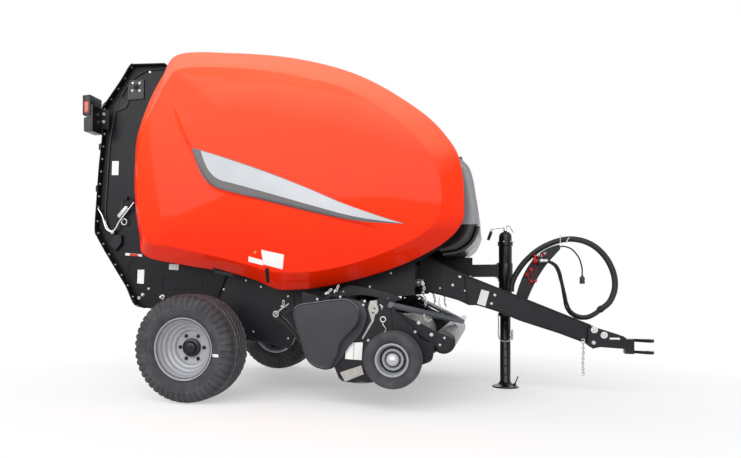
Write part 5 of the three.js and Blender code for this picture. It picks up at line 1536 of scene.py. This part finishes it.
# %% Guard, arms and roller
guard_half = [(1566, -1080, 768), (1690, -808, 724), (1815, -518, 680), (1940, -228, 636), (2012, -62, 610)]
guard_points = guard_half + [(2030, 0, 603)] + [(x, -y, z) for x, y, z in guard_half[::-1]]
guard_tube = bent(guard_points, 200, 23, 24, (0, 0, 1))
roller_axis = (1939.0, 497.0)
near_end = np.array(
    [(1536, 752), (1546, 738), (1562, 736), (1600, 716), (1634, 712), (1692, 672), (1780, 634), (1892, 572)], float)
arm_outline = np.vstack(
    [near_end[::-1], ring_points((1560, 752), 26, 120, 250, 12),
     [(1618, 690), (1692, 618), (1766, 556), (1868, 484)], ring_points(roller_axis, 60, 232, 410, 24)])
piece("guard_frame", merged(guard_tube, merged(
    *(plate(arm_outline, low, high) for low, high in ((1005, 1017), (-1017, -1005))))), tube_paint, "windguard",
      smooth=40, bevel=0.001, replaces=["windguard_frame"])
pair("arm_faces", plate(arm_outline, 1017.2, 1020), black_coat, "windguard")
pair("arm_bolts", studs([(1764, 637), (1855, 552)], 1020, 20), zinc_plate, "windguard")
pair("arm_small_bolts", studs([(1948, 531), (1916, 480)], 1020, 13), zinc_plate, "windguard")
end_disc = moved(
    turned([(0, 1003), (20, 1003), (22, 1000), (80, 999), (84, 996), (84, 990), (0, 990)], 64), (1939, 0, 497))
piece("crop_roller",
      merged(moved(turned([(0, 990), (82, 990), (84.5, 984), (85, 960), (85, -960), (84.5, -984), (82, -990),
                           (0, -990)], 72), (1939, 0, 497)),
             moved(turned([(0, 1016.6), (15, 1016.6), (15, -1016.6), (0, -1016.6)], 24), (1939, 0, 497))),
      roller_steel, "guard_roller", smooth=40, replaces=["windguard_roller"])
pair("roller_discs", end_disc, gloss_black, "guard_roller", smooth=40)
pair("side_shield", strip_between(
    [(1640, 668), (1740, 600), (1860, 500), (1880, 440)], [(1600, 560), (1690, 500), (1780, 420), (1800, 390)], 985,
    995), black_coat, "pickup", bevel=0.002)


def chain_along(points, link=26.0, wire=3.2):
    """Oval links along a line: link k sits at distance k * 0.68 link, and every second one is turned a quarter."""
    line = smooth_line(points, 200)
    length = float(np.linalg.norm(np.diff(line, axis=0), axis=1).sum())
    count = max(2, int(length / (link * 0.68)))
    line = smooth_line(points, count * 2 + 1)
    places, headings = line[1::2], line[2::2] - line[:-1:2]
    angles = np.linspace(0, 2 * np.pi, 17)[:-1]
    oval = np.stack([np.cos(angles) * link * 0.27, np.sin(angles) * link * 0.5, np.zeros(16)], 1)
    flat = swept(oval, circle(wire, 6), toward=(0, 0, 1), closed=True)
    upright = moved(flat, turn=turn_about(1, math.pi / 2))
    even = copies(flat, places[::2], np.stack([pointing(h, toward=(0.1, 0.9, 0.1)) for h in headings[::2]]))
    odd = copies(upright, places[1::2], np.stack([pointing(h, toward=(0.1, 0.9, 0.1)) for h in headings[1::2]]))
    return merged(even, odd)

# %% [markdown]
# ## Drawbar, hitch and jack
# The drawbar is a folded box that narrows towards the hitch, so a thing bolted to its side must follow that slant:
# half width h(x) = 250 up to x = 1880 and falls to 55 at x = 3060. The jack is turned work: a tube with a flanged
# gear head, a leg with a dished foot, and a bent crank of bright rod with a loose black grip.

# %% Things on the slanting side of the drawbar
def drawbar_half(x):
    """Half the drawbar's width at x: 250 at the rear, then a straight taper to 55 at x = 3060."""
    return 250 - np.clip((np.asarray(x, float) - 1880) / 1180, 0, 1) * 195


def on_drawbar(solid):
    """Leans a solid made on the plane y = 0 against the drawbar's side: y' = y + h(x)."""
    corners, faces = solid
    return corners + np.stack(
        [np.zeros(len(corners)), drawbar_half(corners[:, 0]), np.zeros(len(corners))], 1), faces


def weld(points, radius=4.0, count=160):
    """A weld bead: a thin rod whose radius pulses along its length, r (1 + 0.25 sin)."""
    line = smooth_line(points, count)
    return swept(line, circle(radius, 8), toward=(0.02, 1, 0.03), scale=1 + 0.25 * np.sin(np.arange(count) * 1.9))


gusset_top = [(1782, 1140), (1880, 1090), (1960, 1048), (2019, 1008), (2058, 985)]
gusset_low = [(1782, 862), (1865, 843), (1960, 815), (2020, 798), (2083, 766)]
gusset = on_drawbar(strip_between(gusset_top, gusset_low, -1, 5, 40))
seam = on_drawbar(weld([(2058, 4, 985), (2064, 4, 930), (2072, 4, 850), (2085, 4, 768)]))
top_seam = on_drawbar(
    weld([(1790, 3, 1130), (1960, 3, 1046), (2019, 3, 1006), (2250, 3, 914), (2600, 3, 768), (3040, 3, 585)], 3.0,
         400))
low_seam = on_drawbar(
    weld([(2110, 3, 760), (2340, 3, 702), (2500, 3, 630), (2806, 3, 530), (2978, 3, 464), (3050, 3, 444)], 3.0,
         300))
drawbar_bolts = on_drawbar(studs([(2020, 985), (1962, 916), (2302, 832), (2275, 761)], 5, 17))
small_drawbar_bolts = on_drawbar(studs([(1860, 889), (2060, 868)], 5, 11))
drawbar_label = on_drawbar(plate([(2195, 879), (2258, 860), (2226, 738), (2159, 759)], -1, 1.2))
pair("drawbar_gusset", gusset, black_coat, bevel=0.002)
pair("drawbar_welds", merged(seam, top_seam, low_seam), black_coat, smooth=60)
pair("drawbar_bolts", drawbar_bolts, zinc_plate)
pair("drawbar_small_bolts", small_drawbar_bolts, zinc_plate)
pair("drawbar_label", drawbar_label, label_white)

# %% Hitch
hitch_heads = studs([(3082, 550), (3155, 508), (3076, 445)], 79.3, 24)
washers = copies(turned([(0, 83), (26, 83), (28, 81), (28, 79), (0, 79)], 32), [(3082, 0, 550), (3155, 0, 508)])
hitch_tag = plate([(3196, 489), (3272, 489), (3272, 474), (3196, 474)], 79, 80.4)
pair("hitch_bolts", hitch_heads, zinc_plate)
pair("hitch_washers", washers, bright_steel, smooth=40)
pair("hitch_tag", hitch_tag, label_white)
piece("safety_chain",
      merged(chain_along([(2998, -66, 452), (3000, -66, 360), (2997, -66, 270), (3000, -66, 176)], 30, 3.6), moved(
          turned([(8, 5), (14, 5), (14, -5), (8, -5)], 24), (2998, -66, 462))), zinc_plate, smooth=50)

# %% Jack
jack_x, jack_y = 2396.0, 290.0
upright_turn = turn_about(0, math.pi / 2)


def upright(profile, x=jack_x, y=jack_y, steps=48):
    """A profile of (radius, z) pairs turned about an upright line."""
    return moved(turned(profile, steps), (x, y, 0), upright_turn)


tube_profile = [
    (0, 1240), (47.5, 1240), (47.5, 642), (49, 640), (56, 640), (57, 642), (57, 1264), (62, 1268), (67, 1270),
    (67, 1280), (60, 1282), (60, 1286), (67, 1288), (67, 1300), (65, 1303), (56, 1306), (56, 1340), (54.5, 1356),
    (51, 1370), (44, 1382), (33, 1391), (20, 1396), (15, 1397), (14, 1404), (0, 1404)]
piece("jack_barrel", merged(upright(tube_profile, steps=64), merged(
    upright([(57, 1112), (63, 1112), (64, 1108), (64, 956), (63, 952), (57, 952)]),
    upright([(57, 668), (62, 668), (63, 665), (63, 643), (62, 640), (57, 640)]))), gloss_black, smooth=35,
      replaces=["jack_tube"])
cap_angles = np.arange(6) / 6 * 2 * np.pi + 0.3
piece("jack_cap_bolts", copies(hex_bolt(10, 6), np.stack(
    [jack_x + 62 * np.cos(cap_angles), jack_y + 62 * np.sin(cap_angles), np.full(6, 1302.0)],
    1), np.broadcast_to(upright_turn, (6, 3, 3))), zinc_plate)
leg_profile = [
    (0, 0.5), (108, 0.5), (114, 3), (115, 9), (112, 15), (98, 19), (74, 25), (58, 36), (49, 52), (45.5, 58),
    (45.5, 796), (43, 800), (0, 800)]
piece("jack_foot", merged(upright(leg_profile, steps=64), merged(
    *(moved(turned([(0, 46), (9, 46), (10, 45), (0, 44)], 20), (jack_x, jack_y, z), np.diag([1, s, s]))
      for z in np.arange(120, 700, 76) for s in (1, -1)))), gloss_black, "leg", smooth=35, replaces=["jack_leg"])
piece("jack_foot_lever",
      merged(bent([(2476, 270, 24), (2482, 270, 46), (2494, 270, 76), (2505, 270, 104)], 16, 5), plate(
          [(2440, 14), (2486, 14), (2488, 40), (2472, 44), (2450, 30)], 266, 274)), gloss_black, "leg", smooth=40)
piece("crank_rod",
      merged(swept(smooth_line([(2396, 290, 1404), (2396, 290, 1418), (2396, 290, 1430), (2384, 290, 1438),
                                (2350, 290, 1434), (2300, 290, 1428), (2286, 290, 1422), (2277, 290, 1408),
                                (2270, 290, 1386), (2250, 290, 1326)], 90), circle(10, 16), toward=(0, 1, 0)),
             upright([(0, 1432), (12, 1432), (16, 1428), (16, 1404), (0, 1404)], steps=32)), bright_steel,
      smooth=50, replaces=["jack_crank"])
piece("crank_grip",
      moved(turned([(0, 0), (10, 0), (13, 4), (14, 12), (14, 60), (12.5, 70), (14, 76), (12, 82), (0, 82)], 28),
            (2275, 290, 1400), pointing((-30, 0, -84), toward=(0, 1, 0))), gloss_black, smooth=40)
piece(
    "crank_latch",
    bent([(2400, 286, 1428), (2412, 282, 1444), (2430, 280, 1444), (2448, 280, 1418), (2462, 282, 1388)], 30, 5.5),
    zinc_plate, smooth=50)
piece("jack_pin",
      merged(upright([(0, 522), (8, 520), (9, 514), (9, 436), (7, 430), (0, 428)], 2454, 262, 20),
             hoop((2447, 474), 13, 226, 3.4, 36, 8)), zinc_plate, smooth=50)
piece("jack_chains", chain_along(
    [(2336, 290, 642), (2338, 284, 560), (2336, 262, 484), (2350, 234, 432), (2388, 222, 416), (2430, 222, 426),
     (2446, 226, 458)], 17, 2.2), zinc_plate, smooth=50)
piece("saddle_bolts",
      merged(*(moved(hex_bolt(16, 8), (2322, y, z), turn_about(2, math.pi / 2)) for y in (262, 318)
               for z in (988, 1104))), zinc_plate)

# %% Couplings with dust caps on the carrier, and the chains over the pickup
cap_points = np.array(
    [(2688, -14, 1162), (2641, -16, 1150), (2621, -18, 1108), (2593, -14, 1048), (2568, -14, 1008),
     (2674, 20, 1110)], float)
dust_cap = turned([(0, 26), (13, 26), (16, 22), (16, 4), (12, 0), (12, -18), (0, -18)], 24)
cap_turns = np.stack([pointing(d, toward=(0, 1, 0)) for d in (
    (0.6, -0.5, 0.5), (0.3, -0.8, 0.4), (0.5, -0.7, 0.1), (0.2, -0.9, -0.1), (-0.2, -0.8, -0.3), (0.5, 0.6, 0.4))])
piece("dust_caps", copies(dust_cap, cap_points, cap_turns), cap_red, smooth=40)
piece("cap_straps",
      merged(merged(*(bent([p, p + [10, -14, -30], p + [16, -16, -64], p + [8, -12, -96]], 24, 2.6, 6, (0, 1, 0.1))
                      for p in cap_points[2:5])),
             copies(turned([(0, 12), (12, 11), (14, 8), (14, -8), (12, -11), (0, -12)], 20),
                    [cap_points[3] + [8, -12, -100], cap_points[2] + [10, -12, -158]])), cap_red, smooth=50)
piece("couplers", copies(turned([(0, 34), (9, 34), (9, 22), (12, 20), (12, -6), (15, -8), (15, -26), (0, -26)], 20),
                         cap_points[[0, 1, 5]] + [6, -8, 8], cap_turns[[0, 1, 5]]), bright_steel, smooth=40)
piece(
    "hose_prongs",
    merged(
        swept(np.array([(2830, 6, 1262), (2830, 6, 1300), (2830, 6, 1335)], float), circle(4, 8), toward=(0, 1, 0)),
        swept(np.array([(2876, 6, 1266), (2886, 6, 1290), (2900, 6, 1311)], float), circle(4, 8),
              toward=(0, 1, 0))), zinc_plate, smooth=50)
chain_plate = plate([(1650, 972), (1742, 960), (1744, 918), (1700, 905), (1640, 922)], 440, 448)
hooks = merged(
    *(moved(turned([(0, 470), (9, 469), (9, 400), (0, 400)], 16), (x, 0, z))
      for x, z in ((1733, 940), (1700, 935))))
drop_chain = chain_along(
    [(1735, 458, 938), (1748, 460, 889), (1740, 460, 850), (1760, 458, 791), (1756, 455, 738)], 30, 3.6)
near_chain = chain_along([(1857, 330, 829), (1860, 334, 790), (1859, 336, 759), (1874, 336, 716)], 26, 3.2)
pair("chain_plate", chain_plate, tube_paint, "chassis", "band_steel", bevel=0.002)
pair("chain_hooks", hooks, zinc_plate, smooth=40)
pair("drop_chains", merged(drop_chain, near_chain), bright_steel, smooth=50)
small_chain = chain_along([(1782, 830, 690), (1796, 828, 650), (1816, 826, 642), (1841, 826, 655)], 22, 2.8)
piece("guard_eye", merged(plate([(2020, 612), (2056, 612), (2070, 640), (2050, 652), (2016, 640)], -14, -8), plate(
    [(2020, 612), (2056, 612), (2070, 640), (2050, 652), (2016, 640)], 8,
    14), moved(turned([(0, 20), (6, 19), (6, -19), (0, -20)], 14), (2052, 0, 638))), bright_steel, "windguard",
      bevel=0.001)
pair("guard_chain", small_chain, bright_steel, "windguard", smooth=50)

# %% [markdown]
# ## Finishes of the CAD's own plates
# Plates whose shape is already right keep their CAD mesh and only get a finish and, where their edges catch the
# light, a small bevel.

# %% CAD nodes keep their meshes
plain_finish = {
    "red_paint": red_paint, "black_paint": black_coat, "grey_plastic": hood_plastic, "rim_silver": rim_silver,
    "band_steel": galvanised, "roller_steel": roller_steel, "tyre_rubber": tyre_rubber, "belt_rubber": belt_rubber,
    "hose_rubber": hose_rubber, "cover_plastic": charcoal_plastic, "lamp_plastic": lens_red,
    "crank_steel": zinc_plate}
slot_of_node = {part["node"]: part["material_slot"] for part in frame["record"]["subparts"]}
for name, node in frame["nodes"].items():
    node.data.materials.clear()
    finish = gate_coat if name.startswith("tailgate_side") else plain_finish[slot_of_node[name]]
    node.data.materials.append(finish)
    if not node.hide_render:
        edge = node.modifiers.new("edge", "BEVEL")
        edge.width = 0.002
        edge.segments = 1
        edge.limit_method = "ANGLE"
        edge.angle_limit = math.radians(50)
shown = [name for name, node in frame["nodes"].items() if not node.hide_render]
print("CAD nodes that show:", sorted(shown))

# %% [markdown]
# ## Floor and light
# A plain pale floor runs to a white surround. One large soft lamp stands high behind the camera, so that the
# upper half of each panel mirrors it; a weaker one fills the rear. Only camera, mirror and glass rays see the
# surround as full white; the object is lit by a plainer level of it.

# %% Floor
floor = Graph("floor_white", roughness=0.9, specular_ior_level=0.1)
rays = floor.nodes.new("ShaderNodeLightPath")
seen_ray = Field(floor, rays.outputs["Is Camera Ray"]) + Field(floor, rays.outputs["Is Glossy Ray"])
floor_x, floor_y = floor.axis(0), floor.axis(1)
far = ((floor_x * floor_x + floor_y * floor_y) ** 0.5).over(1.0, 3.0)
glow = floor.node("ShaderNodeEmission", None, {"Color": (1, 1, 1, 1), "Strength": 1.0})
floor.shader.inputs["Emission Color"].default_value = (1, 1, 1, 1)
floor.shader.inputs["Emission Strength"].default_value = 0.26
floor.feed(base_color=floor.blend(floor.noise(0.4, 2), (0.9, 0.9, 0.9), (0.88, 0.88, 0.885)))
share = (far * 0.86 + 0.14) * seen_ray.over(0.0, 1.0)
mixed = floor.node("ShaderNodeMixShader", None, {0: share, 2: glow})
floor.links.new(floor.shader.outputs[0], mixed.socket.node.inputs[1])
floor.links.new(mixed.socket, floor.nodes["Material Output"].inputs["Surface"])
floor_mesh = bpy.data.meshes.new("floor")
floor_mesh.from_pydata([(-90, -60, 0), (90, -60, 0), (90, 90, 0), (-90, 90, 0)], [], [(0, 1, 2, 3)])
floor_mesh.materials.append(floor.material)
floor_piece = bpy.data.objects.new("floor", floor_mesh)
bpy.context.scene.collection.objects.link(floor_piece)

# %% Surround
world = bpy.data.worlds.new("surround")
bpy.context.scene.world = world
world.use_nodes = True
world_nodes, world_links = world.node_tree.nodes, world.node_tree.links
path = world_nodes.new("ShaderNodeLightPath")
seen = world_nodes.new("ShaderNodeMath")
seen.operation = "MAXIMUM"
world_links.new(path.outputs["Is Camera Ray"], seen.inputs[0])
world_links.new(path.outputs["Is Glossy Ray"], seen.inputs[1])
seen_too = world_nodes.new("ShaderNodeMath")
seen_too.operation = "MAXIMUM"
world_links.new(seen.outputs[0], seen_too.inputs[0])
world_links.new(path.outputs["Is Transmission Ray"], seen_too.inputs[1])
level = world_nodes.new("ShaderNodeMapRange")
world_links.new(seen_too.outputs[0], level.inputs["Value"])
level.inputs["To Min"].default_value = 0.26
level.inputs["To Max"].default_value = 1.0
world_links.new(level.outputs[0], world_nodes["Background"].inputs["Strength"])
world_nodes["Background"].inputs["Color"].default_value = (1, 1, 1, 1)


# %% Lamps
def soft_lamp(name, place, target, width, height, level):
    """A rectangular lamp turned to face the target; `level` is how bright it looks, where 1 is white paper."""
    data = bpy.data.lights.new(name, "AREA")
    data.shape = "RECTANGLE"
    data.size, data.size_y = width, height
    data.energy = level * math.pi * width * height
    lamp = bpy.data.objects.new(name, data)
    bpy.context.scene.collection.objects.link(lamp)
    lamp.location = place
    lamp.rotation_euler = (Vector(target) - Vector(place)).to_track_quat("-Z", "Y").to_euler()
    lamp.visible_camera = False
    return lamp


soft_lamp("front_wall", (-1.5, -8.6, 5.6), (-1.5, 0, 1.9), 17.0, 7.4, 2.8)
soft_lamp("rear_wall", (-2.0, 9.0, 6.0), (0, 0, 1.4), 14.0, 5.0, 1.1)

# %% Sizes and end
print("pieces", len(made), "faces", sum(made.values()))
